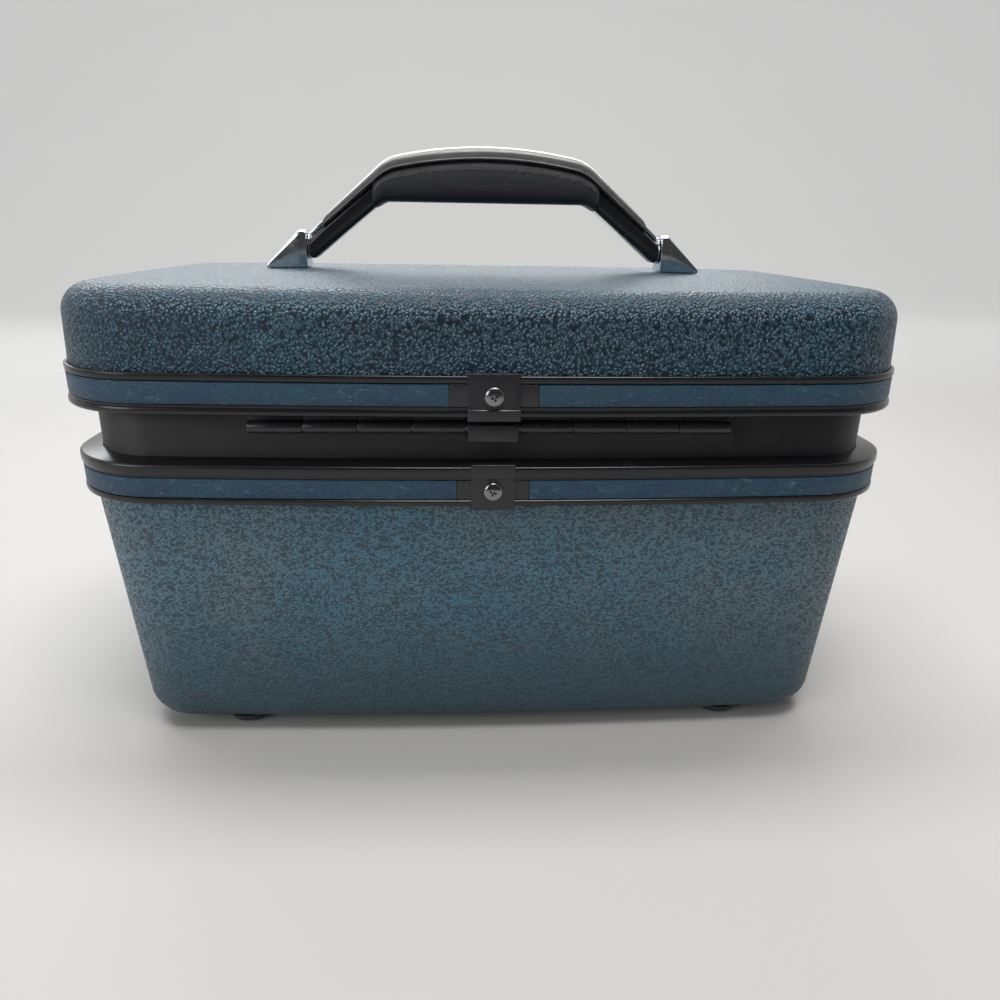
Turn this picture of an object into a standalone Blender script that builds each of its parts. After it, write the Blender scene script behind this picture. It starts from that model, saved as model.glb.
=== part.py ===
"""Cosmetic train case: a hard shell case with framed halves, a piano hinge, two latches, a tray and a mirror.

The case stands on the plane Z = 0 with its width along X.  The latches are on the -Y side and the hinge is on
the +Y side.  Sizes are written in millimetres and turned into metres by MM.  Most pieces follow the outline
of the case: their sections are lists of (inset, height), where inset is measured inwards from the frames.
"""
import math

import bmesh
import bpy
from mathutils import Matrix, Vector

MM = 0.001

# Clearances
FIT_GAP = 0.3 * MM
RUN_GAP = 0.4 * MM
CUT_OVERRUN = 2.0 * MM

# Outline of the case over its frames
CASE_WIDTH = 351.0 * MM
CASE_DEPTH = 206.0 * MM
CORNER_RADIUS = 37.0 * MM
FRONT_BOW = 6.5 * MM
END_BOW = 3.0 * MM
CORNER_STEPS = 6
SIDE_POINT_SHARES = (0.5, 0.0, -0.5)

# Feet
FOOT_HEIGHT = 5.0 * MM
FOOT_RADIUS = 10.0 * MM
FOOT_END_INSET = 62.0 * MM
FOOT_SIDE_INSET = 34.0 * MM
FOOT_CROWN_SHARES = ((0.45, 1.0), (0.75, 0.8), (0.93, 0.45), (1.0, 0.1), (1.0, 0.0))
ROUND_STEPS = 16

# Lower shell
BODY_WALL = 2.4 * MM
BODY_INSET = 5.9 * MM
BODY_BASE_INSET = 14.2 * MM
BODY_BAND_HEIGHT = 18.5 * MM
BODY_BASE_RADIUS = 13.0 * MM
BODY_BASE_STEPS = 4

# Sections of the frames, with heights measured from the edge that faces the gap between them
UPPER_FRAME_HEIGHT = 16.0 * MM
UPPER_BEAD_HEIGHT = 3.0 * MM
UPPER_CHANNEL_START = 3.9 * MM
UPPER_CHANNEL_END = 13.1 * MM
LOWER_FRAME_HEIGHT = 16.5 * MM
LOWER_BEAD_HEIGHT = 4.6 * MM
LOWER_CHANNEL_START = 5.5 * MM
LOWER_CHANNEL_END = 14.0 * MM
LOWER_FRAME_INSET = 0.9 * MM
BEAD_ROUND = 1.2 * MM
BEAD_STEP_INSET = 0.9 * MM
CHANNEL_INSET = 1.7 * MM
LIP_INSET = 0.3 * MM
LIP_ROUND = 0.6 * MM
FRAME_INNER_INSET = 2.8 * MM
FLANGE_THICKNESS = 1.9 * MM

# Lower frame, neck collar and the gap
LOWER_FRAME_TOP = 134.2 * MM
BODY_RIM_DROP = 3.7 * MM
LEDGE_RISE = 0.8 * MM
NECK_INSET = 10.5 * MM
NECK_WALL = 2.2 * MM
NECK_SKIRT_HEIGHT = 13.0 * MM
NECK_JOG_HEIGHT = 3.0 * MM
NECK_EDGE_ROUND = 0.5 * MM

# Upper frame and lid shell
NECK_GAP = 19.9 * MM
UPSTAND_HEIGHT = 9.6 * MM
LID_WALL = 2.2 * MM
LID_INSET = 2.0 * MM
LID_SKIRT_DEPTH = 12.5 * MM
LID_JOG_HEIGHT = 1.3 * MM
LID_DRAFT = 0.8 * MM
LID_SIDE_HEIGHT = 18.9 * MM
LID_SHOULDER_WIDTH = 13.5 * MM
LID_SHOULDER_HEIGHT = 12.2 * MM
LID_CROWN = 3.0 * MM
LID_SHOULDER_STEPS = 5
LID_CROWN_SHARES = (0.8, 0.5, 0.15)

# Trim bands in the channels of the frames, and the splices over their open ends
TRIM_THICKNESS = 0.8 * MM
TRIM_EDGE_GAP = 0.3 * MM
TRIM_EDGE_ROUND = 0.25 * MM
SPLICE_THICKNESS = 0.9 * MM
UPPER_SPLICE_WIDTH = 34.4 * MM
LOWER_SPLICE_WIDTH = 28.8 * MM
TRIM_END_GAP = 0.4 * MM
UPPER_CLIP_WIDTH = 20.4 * MM
LOWER_CLIP_WIDTH = 17.4 * MM
CLIP_THICKNESS = 0.9 * MM
CLIP_LIP_INSET = 1.4 * MM
SPLICE_SCREW_RADIUS = 3.8 * MM
SPLICE_SCREW_CROWN = 1.5 * MM
SPLICE_SHANK_RADIUS = 2.0 * MM

# Piano hinge
HINGE_KNUCKLES = 9
HINGE_LENGTH = 190.4 * MM
HINGE_AXIS_DROP = 5.5 * MM
KNUCKLE_RADIUS = 2.5 * MM
KNUCKLE_END_GAP = 0.35 * MM
LEAF_THICKNESS = 1.0 * MM
HINGE_PIN_RADIUS = 1.2 * MM
CURL_TURN = math.radians(290.0)
CURL_STEPS = 10
UPPER_LEAF_HEIGHT = 8.4 * MM
LOWER_LEAF_DROP = 11.0 * MM
HINGE_TAB_WIDTH = 19.6 * MM
HINGE_TAB_DROP = 5.4 * MM
HINGE_TAB_RISE = 1.7 * MM
HINGE_TAB_WALL = 1.0 * MM

# Linings
LINING_WALL = 1.4 * MM
WELT_HEIGHT = 6.0 * MM
WELT_WIDTH = 5.6 * MM
LINING_RISE = 5.2 * MM
LID_LINING_SHOULDER = 10.0 * MM
LID_LINING_STEPS = 4
LID_CEILING_DROP = 6.8 * MM

# Gathered pockets on the ends of the body lining
POCKET_LENGTH = 118.0 * MM
POCKET_TOP_DROP = 24.0 * MM
POCKET_HEIGHT = 62.0 * MM
POCKET_CLOTH = 1.0 * MM
POCKET_BACK_GAP = 0.4 * MM
POCKET_FOLD_DEPTH = 2.4 * MM
POCKET_BAG_DEPTH = 7.0 * MM
POCKET_FOLDS = 9
POCKET_FOLD_POINTS = 4
POCKET_HEM_SHARE = 0.35
POCKET_LEVEL_SHARES = (0.0, 0.12, 0.4, 0.72, 0.9, 1.0)

# Mirror in the lid
MIRROR_END_MARGIN = 55.5 * MM
MIRROR_SIDE_MARGIN = 33.0 * MM
MIRROR_CORNER = 14.0 * MM
MIRROR_THICKNESS = 2.2 * MM
MIRROR_RIM_WIDTH = 8.0 * MM
MIRROR_LIP_WIDTH = 4.0 * MM
MIRROR_LIP_HEIGHT = 1.6 * MM
MIRROR_RIM_ROUND = 1.4 * MM

# Tray
TRAY_FLANGE_INSET = 16.6 * MM
TRAY_FLANGE_WIDTH = 2.4 * MM
TRAY_FLANGE_THICKNESS = 1.6 * MM
TRAY_DEPTH = 38.0 * MM
TRAY_DRAFT = 2.4 * MM
TRAY_WALL = 1.8 * MM
TRAY_BASE_RADIUS = 4.0 * MM
TRAY_FRONT_WELL_SHARE = 0.48
TRAY_BACK_WELLS = 3
TRAY_WELL_CORNER = 9.0 * MM
TRAY_WELL_DRAFT = 1.6 * MM

# Handle and its posts
HANDLE_AXIS_RISE = 12.1 * MM
HANDLE_TOP_RISE = 44.7 * MM
HANDLE_TOP_DROP = 5.2 * MM
HANDLE_KNEE_X = 46.0 * MM
HANDLE_KNEE_ROUND = 15.0 * MM
HANDLE_END_X = 82.8 * MM
HANDLE_END_RISE = 7.6 * MM
HANDLE_UNDER_RISE = 20.6 * MM
HANDLE_UNDER_KNEE_X = 47.5 * MM
HANDLE_UNDER_ROUND = 5.0 * MM
HANDLE_END_DROP = 7.1 * MM
HANDLE_ROUND_STEPS = 4
GRIP_HALF_LENGTH = 53.0 * MM
GRIP_HALF_WIDTH = 10.6 * MM
GRIP_EDGE_ROUND = 4.6 * MM
ARM_HALF_WIDTH = 6.8 * MM
ARM_ROUND = 3.0 * MM
SPINE_HALF_WIDTH = 5.6 * MM
SPINE_HEIGHT = 7.6 * MM
SPINE_ROUND = 1.2 * MM
SPINE_DROP = 1.0 * MM
COVER_HEIGHT = 6.0 * MM
COVER_ARM_HEIGHT = 4.0 * MM
COVER_HALF_WIDTH = 9.2 * MM
COVER_ARM_HALF_WIDTH = 6.8 * MM
COVER_EDGE_HEIGHT = 2.4 * MM
COVER_END_X = 76.5 * MM
TONGUE_HALF_WIDTH = 4.6 * MM
TONGUE_THICKNESS = 2.4 * MM
TONGUE_END_GAP = 0.6 * MM
POST_GAP = 1.4 * MM
POST_TOE_X = 103.8 * MM
POST_RISE = 7.1 * MM
POST_TOP_LENGTH = 3.4 * MM
POST_TOE_HEIGHT = 1.4 * MM
POST_HALF_WIDTH = 7.6 * MM
POST_TOE_HALF_WIDTH = 5.4 * MM
POST_EDGE_ROUND = 1.6 * MM
POST_SLOPE_SHARES = (0.0, 0.25, 0.5, 0.75, 1.0)
HANDLE_PIN_RADIUS = 2.0 * MM
HANDLE_PIN_SEAT = 6.0 * MM
POST_SCREW_X = 92.5 * MM
POST_SCREW_RADIUS = 2.2 * MM
POST_SCREW_HEAD_RADIUS = 4.2 * MM
POST_SCREW_HEAD_HEIGHT = 1.8 * MM
POST_SCREW_BITE = 6.0 * MM
BACKING_LENGTH = 24.0 * MM
BACKING_DEPTH = 22.0 * MM
BACKING_THICKNESS = 1.4 * MM

# Latches, with heights from the ground and depths measured outwards from the face they are fixed to
LATCH_X = 90.0 * MM
LATCH_WIDTH = 40.0 * MM
LATCH_LEAF = 1.6 * MM
LATCH_BLOCK_DEPTH = 4.2 * MM
LATCH_BLOCK_ROUND = 1.0 * MM
LATCH_BLOCK_HEIGHT = 15.6 * MM
LATCH_BLOCK_DROP = 1.2 * MM
LATCH_KNUCKLE_RADIUS = 3.0 * MM
LATCH_PIN_RADIUS = 1.1 * MM
LATCH_EAR_WIDTH = 7.0 * MM
HASP_RISE = 13.5 * MM
HASP_BEND_DROP = 7.1 * MM
HASP_BEND_HEIGHT = 7.0 * MM
HASP_BULGE = 2.6 * MM
HASP_LIP_THICKNESS = 1.6 * MM
HASP_HOOK = 1.6 * MM
HASP_REST_ANGLE = math.radians(4.5)
KEEPER_WIDTH = 18.0 * MM
KEEPER_PLATE = 0.8 * MM
KEEPER_LUG_HEIGHT = 2.4 * MM
KEEPER_HEIGHT = 12.5 * MM
BUTTON_LENGTH = 15.0 * MM
BUTTON_HEIGHT = 8.4 * MM
BUTTON_TRAVEL = 5.0 * MM
BUTTON_ROUND = 1.6 * MM
BUTTON_FLOOR = 1.3 * MM
BUTTON_PROUD = 1.3 * MM
BUTTON_TOP_SHARE = 0.72

# Places worked out from the sizes above
HALF_WIDTH = CASE_WIDTH / 2
HALF_DEPTH = CASE_DEPTH / 2
LOWER_FRAME_BOTTOM = LOWER_FRAME_TOP - LOWER_FRAME_HEIGHT
UPPER_FRAME_BOTTOM = LOWER_FRAME_TOP + NECK_GAP
BODY_SHELL_TOP = LOWER_FRAME_TOP - BODY_RIM_DROP
BODY_TAPER_TOP = BODY_SHELL_TOP - BODY_BAND_HEIGHT
UPPER_FRAME_TOP = UPPER_FRAME_BOTTOM + UPPER_FRAME_HEIGHT
LEDGE_TOP = LOWER_FRAME_TOP + LEDGE_RISE
NECK_TOP = UPPER_FRAME_BOTTOM - FIT_GAP
NECK_INNER_INSET = NECK_INSET + NECK_WALL
LID_SHOULDER_START = UPPER_FRAME_TOP + LID_SIDE_HEIGHT
LID_SHOULDER_TOP = LID_SHOULDER_START + LID_SHOULDER_HEIGHT
LID_CEILING = LID_SHOULDER_TOP - LID_CEILING_DROP
HINGE_AXIS_HEIGHT = UPPER_FRAME_BOTTOM - HINGE_AXIS_DROP
LINING_TOP = LOWER_FRAME_TOP + LINING_RISE
POCKET_TOP = BODY_TAPER_TOP - POCKET_TOP_DROP
POCKET_BOTTOM = POCKET_TOP - POCKET_HEIGHT
FOOT_X = HALF_WIDTH - FOOT_END_INSET
FOOT_Y = HALF_DEPTH - FOOT_SIDE_INSET
HANDLE_AXIS_HEIGHT = LID_SHOULDER_TOP + HANDLE_AXIS_RISE
HANDLE_TOP = HANDLE_AXIS_HEIGHT + HANDLE_TOP_RISE
HANDLE_END_TOP = HANDLE_AXIS_HEIGHT + HANDLE_END_RISE
HANDLE_UNDER = HANDLE_AXIS_HEIGHT + HANDLE_UNDER_RISE
HANDLE_END_UNDER = HANDLE_AXIS_HEIGHT - HANDLE_END_DROP
POST_TOP = HANDLE_AXIS_HEIGHT + POST_RISE
HASP_TOP = UPPER_FRAME_BOTTOM + HASP_RISE
HASP_BEND_START = UPPER_FRAME_BOTTOM - HASP_BEND_DROP
HASP_BEND_END = HASP_BEND_START + HASP_BEND_HEIGHT

MATERIALS = {
    "teal_shell": ((0.03, 0.09, 0.13), 0.42, 0.0),
    "blue_trim": ((0.045, 0.09, 0.16), 0.45, 0.0),
    "black_frame": ((0.014, 0.014, 0.016), 0.32, 0.0),
    "black_neck": ((0.016, 0.016, 0.018), 0.62, 0.0),
    "black_metal": ((0.02, 0.02, 0.022), 0.3, 0.9),
    "bright_screw": ((0.62, 0.61, 0.58), 0.2, 1.0),
    "chrome": ((0.75, 0.76, 0.78), 0.07, 1.0),
    "handle_plastic": ((0.013, 0.013, 0.015), 0.3, 0.0),
    "handle_pad": ((0.012, 0.012, 0.013), 0.5, 0.0),
    "foot_rubber": ((0.03, 0.035, 0.04), 0.6, 0.0),
    "lining_cloth": ((0.2, 0.29, 0.38), 0.7, 0.0),
    "tray_plastic": ((0.33, 0.42, 0.5), 0.35, 0.0),
    "mirror_glass": ((0.85, 0.87, 0.88), 0.03, 1.0),
    "plain_steel": ((0.45, 0.45, 0.46), 0.4, 1.0),
}


class Outline:
    """A rounded rectangle, drawn on plan, whose sides bow gently outwards."""

    def __init__(self, half_x, half_y, radius, bow_y=0.0, bow_x=0.0):
        self.half_x = half_x
        self.half_y = half_y
        self.radius = radius
        self.bow_y = bow_y
        self.bow_x = bow_x

    def bowed(self, x, y):
        """Draw a point of the plain rounded rectangle in towards the ends of its side."""
        share_x = x / self.half_x
        share_y = y / self.half_y
        return Vector((x - self.bow_x * share_y ** 2 * share_x, y - self.bow_y * share_x ** 2 * share_y))

    def side_y(self, inset, x):
        """Distance from the middle of the case to its front or back at a place along X."""
        return self.bowed(x, self.half_y - inset).y

    def loop(self, inset):
        """Points round the outline, counter-clockwise from the middle of the back."""
        straight_x = self.half_x - self.radius
        straight_y = self.half_y - self.radius
        radius = self.radius - inset
        reach_x = self.half_x - inset
        reach_y = self.half_y - inset
        points = [(0.0, reach_y)]
        points += [(-straight_x * share, reach_y) for share in SIDE_POINT_SHARES[:1]]
        for quarter, (side_x, side_y) in enumerate(((-1, 1), (-1, -1), (1, -1), (1, 1))):
            for step in range(CORNER_STEPS + 1):
                angle = math.radians(90.0 * (quarter + 1 + step / CORNER_STEPS))
                points.append((side_x * straight_x + radius * math.cos(angle),
                               side_y * straight_y + radius * math.sin(angle)))
            if quarter == 0:
                points.append((-reach_x, 0.0))
            elif quarter == 1:
                points += [(-straight_x * share, -reach_y) for share in SIDE_POINT_SHARES]
            elif quarter == 2:
                points.append((reach_x, 0.0))
        points += [(straight_x * share, reach_y) for share in SIDE_POINT_SHARES[:1]]
        return [self.bowed(x, y) for x, y in points]

    def open_path(self, inset, half_gap):
        """The loop with a gap at the middle of the back."""
        y = self.half_y - inset
        return [self.bowed(-half_gap, y)] + self.loop(inset)[1:] + [self.bowed(half_gap, y)]


CASE = Outline(HALF_WIDTH, HALF_DEPTH, CORNER_RADIUS, FRONT_BOW, END_BOW)


class FrameFace:
    """Outer face of a frame. Its heights run from the edge at the gap, up for the lid and down for the body."""

    def __init__(self, edge, direction, inset, height, bead, channel):
        self.edge = edge
        self.direction = direction
        self.inset = inset
        self.height = height
        self.bead = bead
        self.channel = channel

    def level(self, height):
        """Place above the ground of a height on the face."""
        return self.edge + self.direction * height

    def strip_levels(self):
        """Lower and upper level of what lies in the channel."""
        start, end = self.channel
        return sorted((self.level(start + TRIM_EDGE_GAP), self.level(end - TRIM_EDGE_GAP)))

    def section(self):
        """The face from the edge at the gap to the far lip, as (inset, level)."""
        start, end = self.channel
        turn = math.radians(45.0)
        points = [
            (BEAD_ROUND, 0.0),
            (BEAD_ROUND * (1.0 - math.sin(turn)), BEAD_ROUND * (1.0 - math.cos(turn))),
            (0.0, BEAD_ROUND),
            (0.0, self.bead - BEAD_STEP_INSET),
            (BEAD_STEP_INSET, self.bead),
            (BEAD_STEP_INSET, start),
            (CHANNEL_INSET, start),
            (CHANNEL_INSET, end),
            (LIP_INSET + LIP_ROUND, end),
            (LIP_INSET, end + LIP_ROUND),
            (LIP_INSET, self.height - LIP_ROUND),
            (LIP_INSET + LIP_ROUND, self.height),
        ]
        return [(self.inset + inset, self.level(height)) for inset, height in points]


UPPER_FACE = FrameFace(UPPER_FRAME_BOTTOM, 1, 0.0, UPPER_FRAME_HEIGHT, UPPER_BEAD_HEIGHT,
                       (UPPER_CHANNEL_START, UPPER_CHANNEL_END))
LOWER_FACE = FrameFace(LOWER_FRAME_TOP, -1, LOWER_FRAME_INSET, LOWER_FRAME_HEIGHT, LOWER_BEAD_HEIGHT,
                       (LOWER_CHANNEL_START, LOWER_CHANNEL_END))


def clear_scene():
    """Remove the objects that the scene starts with."""
    for scene_object in list(bpy.data.objects):
        bpy.data.objects.remove(scene_object, do_unlink=True)


def material(name):
    """Return the named material, made the first time that it is asked for."""
    found = bpy.data.materials.get(name)
    if found:
        return found
    colour, roughness, metallic = MATERIALS[name]
    made = bpy.data.materials.new(name)
    made.use_nodes = True
    shader = made.node_tree.nodes["Principled BSDF"]
    shader.inputs["Base Color"].default_value = (*colour, 1.0)
    shader.inputs["Roughness"].default_value = roughness
    shader.inputs["Metallic"].default_value = metallic
    made.diffuse_color = (*colour, 1.0)
    return made


def add_object(name, shape, material_name=None):
    """Close a bmesh into a named object with outward faces."""
    bmesh.ops.recalc_face_normals(shape, faces=shape.faces)
    mesh = bpy.data.meshes.new(name)
    shape.to_mesh(mesh)
    shape.free()
    mesh.shade_smooth()
    mesh.set_sharp_from_angle(angle=math.radians(32.0))
    made = bpy.data.objects.new(name, mesh)
    bpy.context.scene.collection.objects.link(made)
    if material_name:
        mesh.materials.append(material(material_name))
    return made


def add_loft(shape, sections, closed=False):
    """Skin a run of sections with equal point counts, with capped ends unless the run is closed."""
    rings = [[shape.verts.new(point) for point in section] for section in sections]
    pairs = list(zip(rings, rings[1:]))
    if closed:
        pairs.append((rings[-1], rings[0]))
    else:
        shape.faces.new(rings[0])
        shape.faces.new(rings[-1])
    for ring, following in pairs:
        for corner in range(len(ring)):
            beside = (corner + 1) % len(ring)
            shape.faces.new((ring[corner], ring[beside], following[beside], following[corner]))


def loft(name, sections, material_name=None, closed=False):
    """One solid skinned over its sections."""
    shape = bmesh.new()
    add_loft(shape, sections, closed)
    return add_object(name, shape, material_name)


def level_loop(outline, inset, height, scale=1.0):
    """The outline at one height, drawn in by the inset and then towards the middle."""
    return [Vector((point.x * scale, point.y * scale, height)) for point in outline.loop(inset)]


def frame_ring(name, outline, section, material_name):
    """A ring with the given section of (inset, height) all round the outline."""
    return loft(name, [level_loop(outline, inset, height) for inset, height in section],
                material_name, closed=True)


def tub(name, outline, levels, material_name):
    """A solid whose levels of (inset, height, scale) run over one face, round the rim and back."""
    return loft(name, [level_loop(outline, *level) for level in levels], material_name)


def arc_levels(start_inset, start_height, width, height, steps, upwards):
    """Levels along a quarter turn from a wall to a floor or a ceiling."""
    side = 1.0 if upwards else -1.0
    levels = []
    for step in range(1, steps + 1):
        angle = math.radians(90.0 * step / steps)
        levels.append((start_inset + width * (1.0 - math.cos(angle)),
                       start_height + side * height * math.sin(angle)))
    return levels


def prism(name, profile, low, high, axis="X", material_name=None):
    """A flat profile drawn out along an axis: X takes (y, z), Y takes (x, z) and Z takes (x, y)."""
    place = {
        "X": lambda point, at: Vector((at, point[0], point[1])),
        "Y": lambda point, at: Vector((point[0], at, point[1])),
        "Z": lambda point, at: Vector((point[0], point[1], at)),
    }[axis]
    return loft(name, [[place(point, at) for point in profile] for at in (low, high)], material_name)


def circle_points(radius, steps=ROUND_STEPS, centre=(0.0, 0.0)):
    """Points of a circle about a centre."""
    return [(centre[0] + radius * math.cos(2.0 * math.pi * step / steps),
             centre[1] + radius * math.sin(2.0 * math.pi * step / steps)) for step in range(steps)]


def rounded_rectangle(left, right, bottom, top, radius, steps=2):
    """Points of a rectangle with round corners, counter-clockwise from its right side."""
    points = []
    corners = ((right, bottom, -90.0), (right, top, 0.0), (left, top, 90.0), (left, bottom, 180.0))
    for x, y, turn in corners:
        centre_x = x - math.copysign(radius, x - left - (right - left) / 2)
        centre_y = y - math.copysign(radius, y - bottom - (top - bottom) / 2)
        for step in range(steps + 1):
            angle = math.radians(turn + 90.0 * step / steps)
            points.append((centre_x + radius * math.cos(angle), centre_y + radius * math.sin(angle)))
    return points


def cut(target, cutter):
    """Subtract a hidden cutter from a piece."""
    cutter.hide_render = True
    cutter.display_type = "WIRE"
    boolean = target.modifiers.new(cutter.name, "BOOLEAN")
    boolean.operation = "DIFFERENCE"
    boolean.object = cutter


def carry(empty_name, location, pieces, turn_x=0.0, turn_z=0.0):
    """Parent pieces to an empty on their joint or seat, which may then turn them to where they rest."""
    empty = bpy.data.objects.new(empty_name, None)
    bpy.context.scene.collection.objects.link(empty)
    empty.location = location
    for piece in pieces:
        piece.parent = empty
        piece.matrix_parent_inverse = Matrix.Translation(-Vector(location))
    empty.rotation_euler = (turn_x, 0.0, turn_z)
    return empty


def crown_share(x, y):
    """How far a point of the lid's top lies from its middle, as a share of the way to the shoulder."""
    edge = CASE.loop(LID_INSET + LID_DRAFT + LID_SHOULDER_WIDTH)
    point = Vector((x, y))
    for start, end in zip(edge, edge[1:] + edge[:1]):
        spread = start.cross(end)
        first = point.cross(end) / spread
        second = start.cross(point) / spread
        if first >= 0.0 and second >= 0.0:
            return first + second
    return 0.0


def lid_surface(x, y):
    """Height of the outside of the lid's crowned top."""
    return LID_SHOULDER_TOP + LID_CROWN * (1.0 - crown_share(x, y) ** 2)


def make_lower_shell():
    """Tapered tub with a rounded bottom edge."""
    floor = FOOT_HEIGHT
    inner_radius = BODY_BASE_RADIUS - BODY_WALL
    outer = [(BODY_INSET, BODY_SHELL_TOP), (BODY_INSET, BODY_TAPER_TOP),
             (BODY_BASE_INSET, floor + BODY_BASE_RADIUS)]
    outer += arc_levels(BODY_BASE_INSET, floor + BODY_BASE_RADIUS, BODY_BASE_RADIUS, BODY_BASE_RADIUS,
                        BODY_BASE_STEPS, upwards=False)
    inner_base = BODY_BASE_INSET + BODY_WALL
    inner = [(BODY_INSET + BODY_WALL, BODY_SHELL_TOP), (BODY_INSET + BODY_WALL, BODY_TAPER_TOP),
             (inner_base, floor + BODY_BASE_RADIUS)]
    inner += arc_levels(inner_base, floor + BODY_BASE_RADIUS, inner_radius, inner_radius,
                        BODY_BASE_STEPS, upwards=False)
    return tub("lower_shell", CASE, outer[::-1] + inner, "teal_shell")


def make_lower_frame():
    """Frame round the body, whose top ledge runs in to the neck."""
    ledge_end = NECK_INSET - FIT_GAP
    wall_inset = FRAME_INNER_INSET + LOWER_FRAME_INSET
    shell_side = BODY_INSET - FIT_GAP
    inside = [
        (shell_side, LOWER_FRAME_BOTTOM),
        (shell_side, LOWER_FRAME_BOTTOM + FLANGE_THICKNESS),
        (wall_inset, LOWER_FRAME_BOTTOM + FLANGE_THICKNESS),
        (wall_inset, LOWER_FRAME_TOP - FLANGE_THICKNESS),
        (ledge_end, LEDGE_TOP - FLANGE_THICKNESS),
        (ledge_end, LEDGE_TOP),
    ]
    return frame_ring("lower_frame", CASE, LOWER_FACE.section() + inside, "black_frame")


def make_neck_collar():
    """Recessed neck that joins the body to the lid's seat and carries the hinge."""
    skirt_bottom = BODY_SHELL_TOP - NECK_SKIRT_HEIGHT
    skirt_inset = BODY_INSET + BODY_WALL + FIT_GAP
    jog_bottom = BODY_SHELL_TOP - NECK_JOG_HEIGHT
    jog_top = LEDGE_TOP - FLANGE_THICKNESS - FIT_GAP
    section = [
        (NECK_INSET + NECK_EDGE_ROUND, NECK_TOP),
        (NECK_INSET, NECK_TOP - NECK_EDGE_ROUND),
        (NECK_INSET, jog_top),
        (skirt_inset, jog_bottom),
        (skirt_inset, skirt_bottom),
        (skirt_inset + NECK_WALL, skirt_bottom),
        (skirt_inset + NECK_WALL, jog_bottom),
        (NECK_INNER_INSET, jog_top),
        (NECK_INNER_INSET, NECK_TOP - NECK_EDGE_ROUND),
        (NECK_INNER_INSET - NECK_EDGE_ROUND, NECK_TOP),
    ]
    collar = frame_ring("neck_collar", CASE, section, "black_neck")
    half = HINGE_LENGTH / 2 + FIT_GAP
    seat = NECK_TOP - LEAF_THICKNESS - FIT_GAP
    inner = lower_leaf_plane() - CUT_OVERRUN
    above = NECK_TOP + CUT_OVERRUN
    notch = prism("cut_neck_for_leaf", [(inner, seat), (HALF_DEPTH, seat), (HALF_DEPTH, above), (inner, above)],
                  -half, half)
    cut(collar, notch)
    return collar


def hinge_axis_y():
    """Distance of the hinge pin from the middle of the case."""
    return HALF_DEPTH - NECK_INSET + FIT_GAP + KNUCKLE_RADIUS


def lower_leaf_plane():
    """Inner face of the part of the lower leaf that lies inside the neck."""
    return CASE.side_y(NECK_INNER_INSET, HINGE_LENGTH / 2) - FIT_GAP - LEAF_THICKNESS


def make_upper_frame():
    """Frame round the lid, with an upstand that carries the lid lining and the hinge."""
    jog_low = UPPER_FRAME_TOP - LID_JOG_HEIGHT - BEAD_STEP_INSET
    inside = [
        (LID_INSET - FIT_GAP, UPPER_FRAME_TOP),
        (LID_INSET - FIT_GAP, UPPER_FRAME_TOP - BEAD_STEP_INSET),
        (FRAME_INNER_INSET, jog_low),
        (FRAME_INNER_INSET, UPPER_FRAME_BOTTOM + FLANGE_THICKNESS),
        (NECK_INSET, UPPER_FRAME_BOTTOM + FLANGE_THICKNESS),
        (NECK_INSET, UPPER_FRAME_BOTTOM + UPSTAND_HEIGHT),
        (NECK_INNER_INSET, UPPER_FRAME_BOTTOM + UPSTAND_HEIGHT),
        (NECK_INNER_INSET, UPPER_FRAME_BOTTOM),
    ]
    frame = frame_ring("upper_frame", CASE, UPPER_FACE.section() + inside, "black_frame")
    half = HINGE_LENGTH / 2 + FIT_GAP
    slot_inner = hinge_axis_y() - KNUCKLE_RADIUS - FIT_GAP
    slot_outer = slot_inner + LEAF_THICKNESS + 2 * FIT_GAP
    below = UPPER_FRAME_BOTTOM - CUT_OVERRUN
    above = UPPER_FRAME_BOTTOM + FLANGE_THICKNESS + CUT_OVERRUN
    slot = prism("cut_frame_for_leaf",
                 [(slot_inner, below), (slot_outer, below), (slot_outer, above), (slot_inner, above)],
                 -half, half)
    cut(frame, slot)
    return frame


def make_upper_shell():
    """Lid shell with a soft shoulder and a crowned top."""
    skirt_bottom = UPPER_FRAME_TOP - LID_SKIRT_DEPTH
    skirt_inset = FRAME_INNER_INSET + FIT_GAP
    jog_high = UPPER_FRAME_TOP - BEAD_STEP_INSET
    jog_low = jog_high - LID_JOG_HEIGHT

    def side(wall):
        """Levels of one face of the lid, from its lower edge to the middle of its top."""
        shoulder_inset = LID_INSET + LID_DRAFT + wall
        shoulder_height = LID_SHOULDER_TOP - LID_SHOULDER_START - wall
        levels = [(skirt_inset + wall, skirt_bottom), (skirt_inset + wall, jog_low),
                  (LID_INSET + wall, jog_high), (shoulder_inset, LID_SHOULDER_START)]
        levels += arc_levels(shoulder_inset, LID_SHOULDER_START, LID_SHOULDER_WIDTH - wall, shoulder_height,
                             LID_SHOULDER_STEPS, upwards=True)
        edge_inset = LID_INSET + LID_DRAFT + LID_SHOULDER_WIDTH
        levels += [(edge_inset, LID_SHOULDER_TOP - wall + LID_CROWN * (1.0 - share ** 2), share)
                   for share in LID_CROWN_SHARES]
        return levels

    shell = tub("upper_shell", CASE, side(0.0)[::-1] + side(LID_WALL), "teal_shell")
    holes = bmesh.new()
    for side_x in (-1, 1):
        ring = circle_points(POST_SCREW_RADIUS + FIT_GAP, centre=(side_x * POST_SCREW_X, 0.0))
        add_loft(holes, [[Vector((x, y, at)) for x, y in ring]
                         for at in (LID_SHOULDER_TOP - LID_WALL - CUT_OVERRUN,
                                    LID_SHOULDER_TOP + LID_CROWN + CUT_OVERRUN)])
    cut(shell, add_object("cut_lid_screw_holes", holes))
    return shell


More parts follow.
